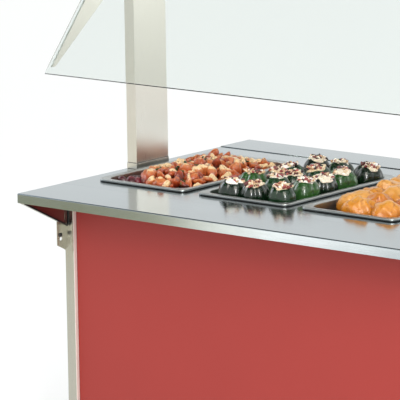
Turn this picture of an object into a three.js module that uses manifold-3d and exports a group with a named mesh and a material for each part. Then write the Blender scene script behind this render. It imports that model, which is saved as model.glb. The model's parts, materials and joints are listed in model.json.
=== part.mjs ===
// A four-well steam table on casters: a hot-food counter with drop-in pans, a plate shelf along the
// customer's side, a work shelf along the server's side, and a glass food guard on two posts.
// Millimetres. +X runs along the counter, +Y towards the server, +Z up. The origin is on the floor
// under the middle of the counter.
import * as THREE from "three";
import { mergeVertices } from "three/addons/utils/BufferGeometryUtils.js";
import Module from "manifold-3d";

const wasm = await Module();
wasm.setup();

// ---------------------------------------------------------------- driving dimensions
const GAP = 0.4; // clearance between two pieces that touch
const SHEET = 2; // stainless sheet thickness
const COUNTER = { length: 1575, depth: 1070, height: 914, apron: 28 };
const SHELF = { front: 194, rear: 143, rearRise: 2, rearJoint: 3 };
const STATION = { count: 4, pitch: 373, y: 6.5 };
const OPENING = { x: 308, y: 511, radius: 46 };
const WELL = { x: 306.8, y: 509.8, radius: 45, wall: 1.5, depth: 163, flange: 7.6, flangeThick: 1.2 };
const DRAIN = { outer: 20, inner: 14, pipe: 17, pipeZ: 690 };
const PAN = { x: 298, y: 501, radius: 45, wall: 1.5, depth: 65 };
const RIM = { x: 325, y: 529, radius: 20, height: 7 };
const POST = { size: 32, wall: 2, inset: 8.5, foot: 30 };
const PANEL = { recess: 13, below: 4 };
const CABINET = { floor: 193, tray: 12 };
const GLAND = { y: 302, z: 273, bore: 6.5 };
const CONTROL = { bottom: 772, face: 390, knobZ: 828 };
const DOOR = { thick: 15.8, skin: 1.2, bottom: 206.5, top: 770, overlap: 10 };
const GUIDES = [343.5, 365.5];
const PULL = { halfWidth: 20, depth: 8.8, z: 495 };
const GUARD = { postX: 36, postY: 146, top: 686, canopy: 45, canopyDepth: 380, glass: 6 };
const COLLAR = { height: 17, proud: 1.2 };
const CASTER = { height: 155, wheel: 63.5, width: 28, trail: 35, axle: 6, stem: 8, plate: 3.5 };

// ---------------------------------------------------------------- places worked out from them
const endX = COUNTER.length / 2;
const frontY = -COUNTER.depth / 2;
const rearY = COUNTER.depth / 2;
const bodyFront = frontY + SHELF.front;
const bodyRear = rearY - SHELF.rear;
const bodyMiddle = (bodyFront + bodyRear) / 2;
const apronZ = COUNTER.height - COUNTER.apron;
const postX = endX - POST.inset - POST.size / 2;
const postInnerX = postX - POST.size / 2 - GAP;
const postTop = apronZ - GAP;
const panelY = bodyFront + PANEL.recess;
const panelBack = panelY + SHEET + GAP;
const doorHalfSpan = postInnerX - 2;
const rimZ = COUNTER.height + 2;
const wellFloor = COUNTER.height - WELL.depth;
const stationX = (i) => (i - (STATION.count - 1) / 2) * STATION.pitch;

// ---------------------------------------------------------------- materials
const finish = (color, roughness, metalness) =>
  new THREE.MeshStandardMaterial({ color, roughness, metalness });
const STEEL_TOP = finish("#c6cccd", 0.22, 1);
const STEEL = finish("#b4b5ab", 0.3, 1);
const DRAWN_STEEL = finish("#a9adab", 0.3, 1);
const RED_PAINT = finish("#a9433f", 0.4, 0);
const ZINC = finish("#9fa3a5", 0.4, 1);
const BRASS = finish("#a98748", 0.35, 1);
const BLACK_PLASTIC = finish("#1c1c1d", 0.45, 0);
const RED_VINYL = finish("#8c1d1a", 0.5, 0);
const GREY_RUBBER = finish("#54565a", 0.7, 0);
const AMBER = finish("#d68422", 0.2, 0);
const GLASS = new THREE.MeshStandardMaterial({ color: "#dfeeea", transparent: true, opacity: 0.35 });
const LAMP = finish("#efeee6", 0.4, 0);
const SEAFOOD = finish("#c4622f", 0.6, 0);
const PEPPERS = finish("#3f5a2a", 0.5, 0);
const SQUASH = finish("#e08a1e", 0.5, 0);

// ---------------------------------------------------------------- solids from three.js geometry
/** A closed three.js geometry as a manifold-3d solid. */
function solid(geometry) {
  const bare = geometry.clone();
  bare.deleteAttribute("normal");
  bare.deleteAttribute("uv");
  const merged = mergeVertices(bare, 1e-4);
  const vertProperties = merged.attributes.position.array;
  const triVerts = new Uint32Array(merged.index.array);
  return new wasm.Manifold(new wasm.Mesh({ numProp: 3, vertProperties, triVerts }));
}

/** A manifold-3d solid as a three.js geometry. */
function geometryOf(body) {
  const { vertProperties, triVerts } = body.getMesh();
  const geometry = new THREE.BufferGeometry();
  geometry.setAttribute("position", new THREE.BufferAttribute(vertProperties, 3));
  geometry.setIndex(new THREE.BufferAttribute(triVerts, 1));
  geometry.computeVertexNormals();
  return geometry;
}

/** Several geometries joined, with any number of others cut away. */
function joined(parts, cuts = []) {
  const whole = parts.map(solid).reduce((sum, part) => sum.add(part));
  return geometryOf(cuts.map(solid).reduce((left, cut) => left.subtract(cut), whole));
}

/** A box between two limits on each axis. */
function block([x0, x1], [y0, y1], [z0, z1]) {
  const box = new THREE.BoxGeometry(x1 - x0, y1 - y0, z1 - z0);
  return box.translate((x0 + x1) / 2, (y0 + y1) / 2, (z0 + z1) / 2);
}

/** A rectangle with round corners, centred, as a shape or a hole. */
function roundedRect(width, depth, radius, Kind = THREE.Shape) {
  const [x, y] = [width / 2 - radius, depth / 2 - radius];
  const path = new Kind();
  path.absarc(x, y, radius, 0, Math.PI / 2);
  path.absarc(-x, y, radius, Math.PI / 2, Math.PI);
  path.absarc(-x, -y, radius, Math.PI, 1.5 * Math.PI);
  path.absarc(x, -y, radius, 1.5 * Math.PI, 2 * Math.PI);
  path.closePath();
  return path;
}

/** A shape extruded straight up from z0 to z1. */
function raised(shape, z0, z1, curveSegments = 3) {
  const options = { depth: z1 - z0, bevelEnabled: false, curveSegments };
  return new THREE.ExtrudeGeometry(shape, options).translate(0, 0, z0);
}

/** A polygon of [y, z] points extruded along X from x0 to x1. */
function alongX(points, x0, x1) {
  const shape = new THREE.Shape(points.map(([y, z]) => new THREE.Vector2(y, z)));
  const geometry = new THREE.ExtrudeGeometry(shape, { depth: x1 - x0, bevelEnabled: false });
  const turn = new THREE.Matrix4().makeBasis(
    new THREE.Vector3(0, 1, 0),
    new THREE.Vector3(0, 0, 1),
    new THREE.Vector3(1, 0, 0),
  );
  return geometry.applyMatrix4(turn).translate(x0, 0, 0);
}

/** A round bar along the given axis, centred on the origin. */
function rod(radius, length, axis, sides = 16) {
  const bar = new THREE.CylinderGeometry(radius, radius, length, sides);
  if (axis === "x") bar.rotateZ(Math.PI / 2);
  if (axis === "z") bar.rotateX(Math.PI / 2);
  return bar;
}

/** A flat sheet with its edges turned down: zTop is its face, drop is how far the edges reach below it. */
function tray([x0, x1], [y0, y1], zTop, drop, cuts = []) {
  const sheet = block([x0, x1], [y0, y1], [zTop - drop, zTop]);
  const under = [zTop - drop - SHEET, zTop - SHEET];
  const inside = block([x0 + SHEET, x1 - SHEET], [y0 + SHEET, y1 - SHEET], under);
  return joined([sheet], [inside, ...cuts]);
}

const table = new THREE.Group();

/** Adds one named sub-part to the table, or to a group inside it. */
function part(name, geometry, material, parent = table) {
  const mesh = new THREE.Mesh(geometry, material);
  mesh.name = name;
  parent.add(mesh);
  return mesh;
}

const SIDES = [
  { name: "left", x: -1 },
  { name: "right", x: 1 },
];

/** An interval on X that is measured outwards from the middle, on one side of the table. */
function span(side, near, far) {
  return side.x < 0 ? [-far, -near] : [near, far];
}

// ---------------------------------------------------------------- counter
function makeCounter() {
  const cuts = [];
  for (let i = 0; i < STATION.count; i += 1) {
    const hole = raised(
      roundedRect(OPENING.x, OPENING.y, OPENING.radius),
      COUNTER.height - 2 * SHEET,
      COUNTER.height + SHEET,
    );
    cuts.push(hole.translate(stationX(i), STATION.y, 0));
  }
  const length = [-endX, endX];
  const main = tray(length, [bodyFront, bodyRear], COUNTER.height, COUNTER.apron, cuts);
  part("main_top", main, STEEL_TOP);
  const front = tray(length, [frontY, bodyFront - GAP], COUNTER.height, COUNTER.apron);
  part("front_shelf", front, STEEL_TOP);
  const rearFace = COUNTER.height + SHELF.rearRise;
  const rearDrop = COUNTER.apron + SHELF.rearRise;
  const rear = tray(length, [bodyRear + SHELF.rearJoint, rearY], rearFace, rearDrop);
  part("rear_shelf", rear, STEEL_TOP);
}

// ---------------------------------------------------------------- shelf brackets
/** A gusset under the plate shelf, with the drilled plate that joins this counter to the next one. */
function makeFrontBracket(side) {
  const face = postX + POST.size / 2;
  const [plate, gusset, lip] = [2.5, 2.5, 14];
  const tip = { y: frontY + SHEET + GAP, z: apronZ - 2 };
  const heel = { y: bodyFront - plate - 2 * GAP, z: COUNTER.height - 125 };
  const underside = COUNTER.height - SHEET - GAP;
  const slope = (heel.z - tip.z) / (heel.y - tip.y);
  const link = { front: bodyFront - 36, low: COUNTER.height - 197, top: apronZ - 6, hole: 5.5 };
  const post = bodyFront - GAP;
  const linkLowFront = link.low + slope * (link.front - post);
  const linkOutline = [
    [link.front, linkLowFront],
    [post, link.low],
    [post, link.top],
    [link.front, link.top],
  ];
  const gussetOutline = [
    [tip.y, underside],
    [tip.y, tip.z],
    [heel.y - 12, heel.z - 12 * slope],
    [heel.y - 3.5, heel.z + 1.5],
    [heel.y, heel.z + 7],
    [heel.y, apronZ - 4],
    [heel.y - 6, apronZ + 2],
    [heel.y - 6, underside],
  ];
  const diagonal = [
    [tip.y, tip.z],
    [heel.y - 12, heel.z - 12 * slope],
    [heel.y - 12, heel.z - 12 * slope + gusset],
    [tip.y, tip.z + gusset],
  ];
  const boltHole = rod(link.hole, 20, "x");
  boltHole.translate(side.x * face, link.front + 15.7, COUNTER.height - 161);
  const geometry = joined(
    [
      alongX(linkOutline, ...span(side, face - plate, face)),
      block(span(side, face - POST.size, face), [post - plate, post], [link.low, link.top]),
      alongX(gussetOutline, ...span(side, face - plate - gusset, face - plate + 0.2)),
      alongX(diagonal, ...span(side, face - plate - lip, face - plate)),
      block(span(side, face - plate - lip, face - plate), [heel.y - plate, heel.y], [heel.z + 8, apronZ - 5]),
    ],
    [boltHole],
  );
  part(`shelf_bracket_${side.name}`, geometry, STEEL);
}

/** A plain gusset that carries the work shelf behind the counter. */
function makeRearBracket(side) {
  const face = postX + POST.size / 2;
  const [back, tip] = [bodyRear + GAP, rearY - SHEET - 4];
  const [high, low] = [apronZ - 1, apronZ - 75];
  const outline = [
    [back, high],
    [back, low],
    [back + 12, low],
    [tip, high - 12],
    [tip, high],
  ];
  const geometry = joined([
    alongX(outline, ...span(side, face - 2.5, face)),
    block(span(side, face - 22, face), [back, back + 2.5], [low, high]),
    block(span(side, face - 22, face), [back, tip], [high - 2.5, high]),
  ]);
  part(`rear_bracket_${side.name}`, geometry, STEEL);
}

// ---------------------------------------------------------------- frame and casing
function makeCornerPost(side, end, y) {
  const half = POST.size / 2;
  const inner = half - POST.wall;
  const low = CASTER.height + GAP;
  const outside = block([-half, half], [-half, half], [low, postTop]);
  const bore = block([-inner, inner], [-inner, inner], [low + POST.foot, postTop + 1]);
  const stemHole = rod(CASTER.stem + 0.6, 3 * POST.foot, "z").translate(0, 0, low + POST.foot / 2);
  const mesh = part(`corner_post_${end}_${side.name}`, joined([outside], [bore, stemHole]), STEEL);
  mesh.position.set(side.x * postX, y, 0);
}

function makeFrame() {
  const railY = [panelBack, panelBack + 25];
  const railZ = [postTop - 38, postTop];
  const hollow = block([-endX, endX], [railY[0] + 2, railY[1] - 2], [railZ[0] + 2, railZ[1] - 2]);
  const rail = block([-postInnerX, postInnerX], railY, railZ);
  part("top_rail_front", joined([rail], [hollow]), STEEL);

  const low = CABINET.floor;
  const floorTop = low + CABINET.tray;
  const inside = postInnerX - GAP;
  const sideX = postX + POST.size / 2 - 5;
  const postFront = bodyFront + POST.size + GAP;
  const postRear = bodyRear - POST.size - GAP;
  const ribs = [];
  for (const y of [...GUIDES, 386.5]) {
    ribs.push(block([-inside, inside], [y, y + 1.5], [floorTop - SHEET, floorTop + 7]));
  }
  const hollowUnder = (x, y0, y1) =>
    block([-x + SHEET, x - SHEET], [y0 + SHEET, y1 - SHEET], [low - 1, floorTop - SHEET]);
  const cross = [
    block([-inside, inside], [panelBack, bodyRear - 3], [low, floorTop]),
    block([-sideX, sideX], [postFront, postRear], [low, floorTop]),
    ...ribs,
  ];
  const under = [
    hollowUnder(inside, panelBack, bodyRear - 3),
    hollowUnder(sideX, postFront, postRear),
  ];
  part("cabinet_floor", joined(cross, under), STEEL);
}

function makePanels() {
  const z = [CABINET.floor - PANEL.below, postTop];
  const front = block([-postInnerX, postInnerX], [panelY, panelY + SHEET], z);
  part("front_panel", front, RED_PAINT);
  const y = [bodyFront + POST.size + GAP, bodyRear - POST.size - GAP];
  for (const side of SIDES) {
    const face = postX + POST.size / 2 - 1;
    const sheet = block(span(side, face - SHEET, face), y, z);
    const cordHole = rod(GLAND.bore + 0.5, 4 * SHEET, "x").translate(face, GLAND.y, GLAND.z);
    const panel = side.x > 0 ? joined([sheet], [cordHole]) : sheet;
    part(`end_panel_${side.name}`, panel, RED_PAINT);
  }
}

// ---------------------------------------------------------------- wells, heat and drain
function wellGeometry() {
  const { x, y, radius, wall, flange, flangeThick } = WELL;
  const seat = COUNTER.height + GAP;
  const top = seat + flangeThick;
  const rim = raised(roundedRect(x + 2 * flange, y + 2 * flange, radius + flange), seat, top);
  const body = raised(roundedRect(x, y, radius), wellFloor, top - 0.6);
  const hollow = raised(roundedRect(x - 2 * wall, y - 2 * wall, radius - wall), wellFloor + wall, top + 1);
  const outlet = rod(DRAIN.inner, 8 * wall, "z").translate(0, 0, wellFloor);
  return joined([rim, body], [hollow, outlet]);
}

/** The sheathed element: one tube bent into three runs under the well, with both ends at the back. */
function elementGeometry() {
  const [reach, back, z] = [195, 205, wellFloor - 12];
  const [outerX, innerX] = [105, 38];
  const corners = [
    [-outerX, back],
    [-outerX, -reach],
    [-innerX, -reach],
    [-innerX, reach - 40],
    [innerX, reach - 40],
    [innerX, -reach],
    [outerX, -reach],
    [outerX, back],
  ];
  const path = new THREE.CurvePath();
  const bend = 26;
  const at = ([x, y]) => new THREE.Vector3(x, y, z);
  let from = at(corners[0]);
  for (let i = 1; i < corners.length - 1; i += 1) {
    const corner = at(corners[i]);
    const before = corner.clone().add(at(corners[i - 1]).sub(corner).setLength(bend));
    const after = corner.clone().add(at(corners[i + 1]).sub(corner).setLength(bend));
    path.add(new THREE.LineCurve3(from, before));
    path.add(new THREE.QuadraticBezierCurve3(before, corner, after));
    from = after;
  }
  path.add(new THREE.LineCurve3(from, at(corners[corners.length - 1])));
  const section = new THREE.Shape();
  section.absarc(0, 0, 4.2, 0, 2 * Math.PI);
  return new THREE.ExtrudeGeometry(section, { steps: 44, extrudePath: path, curveSegments: 3 });
}

function makeWells() {
  for (let i = 0; i < STATION.count; i += 1) {
    const station = new THREE.Group();
    station.position.set(stationX(i), STATION.y, 0);
    table.add(station);
    part(`well_${i + 1}`, wellGeometry(), DRAWN_STEEL, station);
    part(`heating_element_${i + 1}`, elementGeometry(), ZINC, station);
  }
}

function makeDrain() {
  const rise = wellFloor - GAP - DRAIN.pipeZ;
  const [start, end] = [stationX(0) - 30, 654];
  const pieces = [rod(DRAIN.pipe, end - start, "x").translate((start + end) / 2, 0, DRAIN.pipeZ)];
  const bores = [rod(DRAIN.inner, end - start, "x").translate((start + end) / 2 + 5, 0, DRAIN.pipeZ)];
  for (let i = 0; i < STATION.count; i += 1) {
    pieces.push(rod(DRAIN.outer, rise, "z").translate(stationX(i), 0, DRAIN.pipeZ + rise / 2));
    bores.push(rod(DRAIN.inner, rise + 2, "z").translate(stationX(i), 0, DRAIN.pipeZ + rise / 2 + 1));
  }
  const drain = new THREE.Group();
  drain.position.y = STATION.y;
  table.add(drain);
  part("drain_manifold", joined(pieces, bores), ZINC, drain);

  const valveX = 686;
  const spout = [560, DRAIN.pipeZ];
  const body = [
    rod(23, 62, "x").translate(valveX, 0, DRAIN.pipeZ),
    rod(9, 34, "z").translate(valveX, 0, DRAIN.pipeZ + 17),
    rod(DRAIN.pipe, spout[1] - spout[0], "z").translate(valveX + 14, 0, (spout[0] + spout[1]) / 2),
  ];
  const outlet = rod(DRAIN.inner, 100, "z").translate(valveX + 14, 0, spout[0] + 45);
  part("drain_valve", joined(body, [outlet]), BRASS, drain);

  const [reach, leverZ] = [95, DRAIN.pipeZ + 34 + GAP];
  const lever = [
    rod(9, 5, "z").translate(0, 0, 2.5),
    block([-6, 6], [0, reach], [0, 4]),
    block([-8, 8], [35, reach + 2], [-2, 6]),
  ];
  const mesh = part("drain_lever", joined(lever), RED_VINYL, drain);
  mesh.position.set(valveX, 0, leverZ);
}

// ---------------------------------------------------------------- controls on the server's side
const SWITCH = { x: 680, width: 22, height: 30 };

function makeControls() {
  const outer = CONTROL.face;
  const inside = outer - 2;
  const holes = [];
  const lamps = [block([-660, 660], [inside - 4, inside - GAP], [863, 877])];
  for (let i = 0; i < STATION.count; i += 1) {
    holes.push(rod(4.6, 20, "y").translate(stationX(i), inside, CONTROL.knobZ));
    holes.push(rod(6.6, 20, "y").translate(stationX(i), inside, 870));
    lamps.push(rod(6, 10, "y", 12).translate(stationX(i), inside, 870));
  }
  const [halfWide, halfHigh] = [SWITCH.width / 2 + 0.8, SWITCH.height / 2 + 0.8];
  holes.push(
    block(
      [SWITCH.x - halfWide, SWITCH.x + halfWide],
      [inside - 5, outer + 5],
      [CONTROL.knobZ - halfHigh, CONTROL.knobZ + halfHigh],
    ),
  );
  const across = [-postInnerX, postInnerX];
  const lip = CONTROL.bottom - 9;
  const panel = [
    block(across, [inside, outer], [lip, postTop]),
    block(across, [GUIDES[0], outer], [CONTROL.bottom, CONTROL.bottom + SHEET]),
    ...GUIDES.map((y) => block(across, [y, y + 1.5], [lip, CONTROL.bottom + 1])),
  ];
  part("control_panel", joined(panel, holes), STEEL);
  part("lamp_strip", joined(lamps), AMBER);

  const box = { x: [-705, 660], y: [338, 387], z: [790, 858] };
  const shell = block(box.x, box.y, box.z);
  const hollow = block(
    [box.x[0] + 1.5, box.x[1] - 1.5],
    [box.y[0] + 1.5, box.y[1] + 1],
    [box.z[0] + 1.5, box.z[1] - 1.5],
  );
  const thermostats = [];
  for (let i = 0; i < STATION.count; i += 1) {
    const x = stationX(i);
    const z = [CONTROL.knobZ - 15, CONTROL.knobZ + 15];
    thermostats.push(block([x - 18, x + 18], [box.y[0] + 1, outer - 21 - GAP], z));
  }
  const housing = geometryOf(solid(joined([shell], [hollow])).add(solid(joined(thermostats))));
  part("control_box", housing, ZINC);

  for (let i = 0; i < STATION.count; i += 1) {
    const knob = joined([
      rod(25, 5, "y", 24).translate(0, 3.5, 0),
      rod(18, 18, "y", 24).translate(0, 14, 0),
      block([-3.5, 3.5], [5, 25], [-20, 20]),
      rod(4, 24, "y", 12).translate(0, -9, 0),
    ]);
    const mesh = part(`thermostat_knob_${i + 1}`, knob, BLACK_PLASTIC);
    mesh.position.set(stationX(i), outer, CONTROL.knobZ);
  }
  const outline = [
    [-9, -SWITCH.height / 2 + 5],
    [2, -SWITCH.height / 2],
    [3, 0],
    [6, SWITCH.height / 2],
    [-9, SWITCH.height / 2 - 5],
  ];
  const rocker = part("main_switch", alongX(outline, -SWITCH.width / 2, SWITCH.width / 2), BLACK_PLASTIC);
  rocker.position.set(SWITCH.x, outer - 1, CONTROL.knobZ);
}

function makeDoors() {
  const [inner, outer] = GUIDES.map((y) => y + 3.5);
  const leaves = [
    { name: "door_left", x: [-doorHalfSpan, DOOR.overlap / 2], y: inner, pull: -doorHalfSpan + 70 },
    { name: "door_right", x: [-DOOR.overlap / 2, doorHalfSpan], y: outer, pull: doorHalfSpan - 70 },
  ];
  for (const leaf of leaves) {
    const y = [leaf.y, leaf.y + DOOR.thick];
    const leafBox = (inset) =>
      block(
        [leaf.x[0] + inset, leaf.x[1] - inset],
        [y[0] + inset, y[1] - inset],
        [DOOR.bottom + inset, DOOR.top - inset],
      );
    const pull = (halfWidth, back) =>
      block(
        [leaf.pull - halfWidth, leaf.pull + halfWidth],
        [y[1] - back, y[1] + 5],
        [PULL.z - 45 - halfWidth, PULL.z + 45 + halfWidth],
      );
    const cavity = joined([leafBox(DOOR.skin)], [pull(PULL.halfWidth + DOOR.skin, PULL.depth + DOOR.skin)]);
    const cuts = [cavity, pull(PULL.halfWidth, PULL.depth)];
    for (const x of [leaf.x[0] + 90, leaf.x[1] - 90]) {
      cuts.push(block([x - 20, x + 20], [y[0] + 4, y[1] - 4], [DOOR.bottom - 5, DOOR.bottom + 5]));
    }
    part(leaf.name, joined([leafBox(0)], cuts), STEEL);
  }
}

function makeCordGland() {
  const seat = postX + POST.size / 2 - 1 + GAP;
  const reach = endX - 0.5 - seat;
  const nut = rod(19, 4, "x", 6).translate(2, 0, 0);
  const dome = rod(13, reach, "x").translate(reach / 2, 0, 0);
  const gland = joined([nut, dome], [rod(GLAND.bore, 4 * reach, "x")]);
  const mesh = part("cord_gland", gland, BLACK_PLASTIC);
  mesh.position.set(seat, GLAND.y, GLAND.z);
}

// ---------------------------------------------------------------- food pans and their food
function panGeometry() {
  const { x, y, radius, wall, depth } = PAN;
  const bottom = RIM.height - depth;
  const rim = raised(roundedRect(RIM.x, RIM.y, RIM.radius), 0, RIM.height, 5);
  const body = raised(roundedRect(x, y, radius), bottom, RIM.height - 1, 5);
  const inside = roundedRect(x - 2 * wall, y - 2 * wall, radius - wall);
  const hollow = raised(inside, bottom + wall, RIM.height + 1, 5);
  return joined([rim, body], [hollow]);
}

/** A heap of food: a box that fills the pan below its rim and swells to a soft crown above it. */
function heapGeometry(crown, edge) {
  const clear = PAN.wall + 14;
  const width = PAN.x - 2 * clear;
  const length = PAN.y - 2 * clear;
  const floor = RIM.height - PAN.depth + PAN.wall + GAP;
  const heap = new THREE.BoxGeometry(width, length, 1, 6, 9, 1);
  const spots = heap.attributes.position;
  for (let i = 0; i < spots.count; i += 1) {
    const u = (2 * spots.getX(i)) / width;
    const v = (2 * spots.getY(i)) / length;
    const swell = (1 - u ** 4) * (1 - v ** 4);
    spots.setZ(i, spots.getZ(i) > 0 ? edge + (crown - edge) * swell : floor);
  }
  return heap;
}

function makePans() {
  const heaps = [
    { name: "food_seafood", crown: 44, edge: -8, material: SEAFOOD },
    { name: "food_peppers", crown: 58, edge: -8, material: PEPPERS },
    { name: "food_squash", crown: 42, edge: -8, material: SQUASH },
  ];
  for (let i = 0; i < STATION.count; i += 1) {
    const place = new THREE.Group();
    place.position.set(stationX(i), STATION.y, rimZ);
    table.add(place);
    part(`food_pan_${i + 1}`, panGeometry(), DRAWN_STEEL, place);
    const heap = heaps[i];
    if (heap) part(heap.name, heapGeometry(heap.crown, heap.edge), heap.material, place);
  }
}

// ---------------------------------------------------------------- food guard
/** The pane's line in the YZ plane: from its top edge under the canopy down to its front edge. */
const PANE = {
  top: new THREE.Vector2(bodyMiddle - GUARD.canopyDepth / 2 - 8, COUNTER.height + 638),
  low: new THREE.Vector2(frontY + 105, COUNTER.height + 336),
};

function makeGuard() {
  const baseZ = COUNTER.height + GAP;
  const topZ = COUNTER.height + GUARD.top;
  const rimLow = topZ - GUARD.canopy;
  const postTopZ = topZ - SHEET - GAP;
  const y = [bodyMiddle - GUARD.postY / 2, bodyMiddle + GUARD.postY / 2];
  const down = PANE.low.clone().sub(PANE.top);
  const inward = new THREE.Vector2(-down.y, down.x).normalize();
  const behind = GUARD.glass / 2 + GAP;
  const onPane = (share) => PANE.top.clone().addScaledVector(down, share).addScaledVector(inward, behind);
  const [high, low] = [onPane(0.06), onPane(0.94)];
  const arm = [
    [y[0] + 1, rimLow - 4],
    [high.x, high.y],
    [low.x, low.y],
    [low.x + 16, low.y],
    [high.x + 62, high.y - 52],
    [y[0] + 1, rimLow - 110],
  ];
  for (const side of SIDES) {
    const outer = endX - SHEET - GAP;
    const [x0, x1] = span(side, outer - GUARD.postX, outer);
    const sleeve = block([x0, x1], y, [baseZ, postTopZ]);
    const { proud, height } = COLLAR;
    const collar = block([x0 - proud, x1 + proud], [y[0] - proud, y[1] + proud], [baseZ, baseZ + height]);
    const bore = block([x0 + SHEET, x1 - SHEET], [y[0] + SHEET, y[1] - SHEET], [baseZ + 20, postTopZ + 1]);
    const inner = outer - GUARD.postX;
    const blade = alongX(arm.slice().reverse(), ...span(side, inner + 1, inner + 7));
    part(`guard_post_${side.name}`, joined([joined([sleeve, collar], [bore]), blade]), STEEL);
  }
  const canopyY = [bodyMiddle - GUARD.canopyDepth / 2, bodyMiddle + GUARD.canopyDepth / 2];
  part("canopy", tray([-endX, endX], canopyY, topZ, GUARD.canopy), STEEL);
  const lampZ = topZ - SHEET - GAP;
  part("canopy_lamp", block([-640, 640], [bodyMiddle - 40, bodyMiddle + 40], [lampZ - 38, lampZ]), LAMP);

  const pane = new THREE.BoxGeometry(2 * (endX - 24), down.length(), GUARD.glass);
  const mesh = part("guard_glass", pane, GLASS);
  const middle = PANE.top.clone().add(PANE.low).multiplyScalar(0.5);
  mesh.position.set(0, middle.x, middle.y);
  mesh.rotation.x = Math.atan2(-down.y, -down.x);
}

// ---------------------------------------------------------------- casters
function wheelGeometry() {
  const { wheel, width, axle } = CASTER;
  const half = width / 2;
  const bore = axle + 0.5;
  const profile = [
    [bore, -half - 2],
    [16, -half - 2],
    [19, -half + 4],
    [wheel - 15, -half + 4],
    [wheel - 12, -half],
    [wheel, -half + 6],
    [wheel, half - 6],
    [wheel - 12, half],
    [wheel - 15, half - 4],
    [19, half - 4],
    [16, half + 2],
    [bore, half + 2],
    [bore, -half - 2],
  ];
  const points = profile.map(([r, h]) => new THREE.Vector2(r, h));
  return new THREE.LatheGeometry(points, 24).rotateZ(-Math.PI / 2);
}

function forkGeometry() {
  const { height, wheel, width, trail, axle, stem, plate } = CASTER;
  const gap = width / 2 + 3.5;
  const cheek = [
    [-34, height - 24],
    [-34, height - 1],
    [30, height - 1],
    [trail + 13, wheel + 12],
    [trail + 13, wheel - 10],
    [trail - 13, wheel - 10],
    [trail - 16, wheel + 12],
    [-12, height - 24],
  ];
  return joined([
    alongX(cheek.slice().reverse(), -gap - plate, -gap),
    alongX(cheek.slice().reverse(), gap, gap + plate),
    block([-gap - plate, gap + plate], [-34, 30], [height - 6, height - 1]),
    rod(16, 6, "z").translate(0, 0, height - 3.4),
    rod(stem, 34, "z").translate(0, 0, height + 13),
    rod(axle, 2 * (gap + plate) + 5, "x").translate(0, trail, wheel),
  ]);
}

/** The brake pedal, at rest in its released place; pressing its tip down locks the wheel. */
function pedalGeometry() {
  const blade = [
    [-3, -3],
    [3, -3],
    [3, 3],
    [-3, 4],
    [-44, 3],
    [-44, -2],
  ];
  return joined([alongX(blade.slice().reverse(), -14, 14), rod(5, 34, "x", 12)]);
}

function makeCasters() {
  const ends = [
    { name: "front", y: bodyFront + POST.size / 2, turn: 0 },
    { name: "rear", y: bodyRear - POST.size / 2, turn: Math.PI },
  ];
  for (const end of ends) {
    for (const side of SIDES) {
      makeCornerPost(side, end.name, end.y);
      const caster = new THREE.Group();
      caster.position.set(side.x * postX, end.y, 0);
      caster.rotation.z = end.turn;
      table.add(caster);
      part(`caster_fork_${end.name}_${side.name}`, forkGeometry(), ZINC, caster);
      const wheel = part(`caster_wheel_${end.name}_${side.name}`, wheelGeometry(), GREY_RUBBER, caster);
      wheel.position.set(0, CASTER.trail, CASTER.wheel);
      if (end.name === "front") {
        const pedal = part(`brake_pedal_${side.name}`, pedalGeometry(), BLACK_PLASTIC, caster);
        pedal.position.set(0, -27, CASTER.height - 15);
      }
    }
  }
}

makeCounter();
for (const side of SIDES) {
  makeFrontBracket(side);
  makeRearBracket(side);
}
makeFrame();
makePanels();
makeWells();
makeDrain();
makeControls();
makeDoors();
makeCordGland();
makePans();
makeGuard();
makeCasters();

export default table;
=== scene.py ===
# %% [markdown]
# # A steam table in stainless steel, red panels and hot food
#
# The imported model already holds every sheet, well, post, knob and wheel at its true size. What this
# lesson adds is what a buyer sees: folded sheet edges, rolled pan rims, seals, bolts, rubber tyres,
# and three pans of food. Each cell makes one thing and prints what it made.

import json
import math

import bmesh
import bpy
import numpy as np
from mathutils import Matrix, Vector


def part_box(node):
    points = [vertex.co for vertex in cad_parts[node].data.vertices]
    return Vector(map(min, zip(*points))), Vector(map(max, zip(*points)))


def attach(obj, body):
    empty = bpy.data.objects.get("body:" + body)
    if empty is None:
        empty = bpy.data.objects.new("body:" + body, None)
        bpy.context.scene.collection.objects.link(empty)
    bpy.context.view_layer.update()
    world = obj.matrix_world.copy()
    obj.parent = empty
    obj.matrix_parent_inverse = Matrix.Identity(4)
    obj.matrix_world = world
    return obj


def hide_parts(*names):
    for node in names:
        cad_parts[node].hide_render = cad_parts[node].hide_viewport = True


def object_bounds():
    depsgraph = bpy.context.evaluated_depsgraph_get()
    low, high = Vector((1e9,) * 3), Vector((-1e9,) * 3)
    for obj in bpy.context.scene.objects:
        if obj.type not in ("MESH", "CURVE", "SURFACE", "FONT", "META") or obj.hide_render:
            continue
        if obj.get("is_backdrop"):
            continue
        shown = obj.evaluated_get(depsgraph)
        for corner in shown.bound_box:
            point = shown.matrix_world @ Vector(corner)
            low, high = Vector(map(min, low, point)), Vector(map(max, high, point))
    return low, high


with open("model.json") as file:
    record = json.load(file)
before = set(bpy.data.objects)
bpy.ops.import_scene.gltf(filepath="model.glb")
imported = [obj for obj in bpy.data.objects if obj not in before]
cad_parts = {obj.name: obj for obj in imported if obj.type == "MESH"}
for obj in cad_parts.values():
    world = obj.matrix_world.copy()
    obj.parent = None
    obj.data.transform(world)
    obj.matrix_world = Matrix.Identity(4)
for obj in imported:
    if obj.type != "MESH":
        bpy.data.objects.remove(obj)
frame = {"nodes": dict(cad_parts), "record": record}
cad_low, cad_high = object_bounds()
MM = 0.001
record = frame["record"]
body_of_node = {n: b for b, nodes in record["behaviour"]["bodies"].items() for n in nodes}

# %% [markdown]
# ## Camera
#
# A long counter is seen from far off through a long lens, so that its edges stay nearly parallel.
# The camera stands to the right of the customer's side and looks down a little. Its place is
# measured from the counter's near left corner, and its three turns are in radians.

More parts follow.
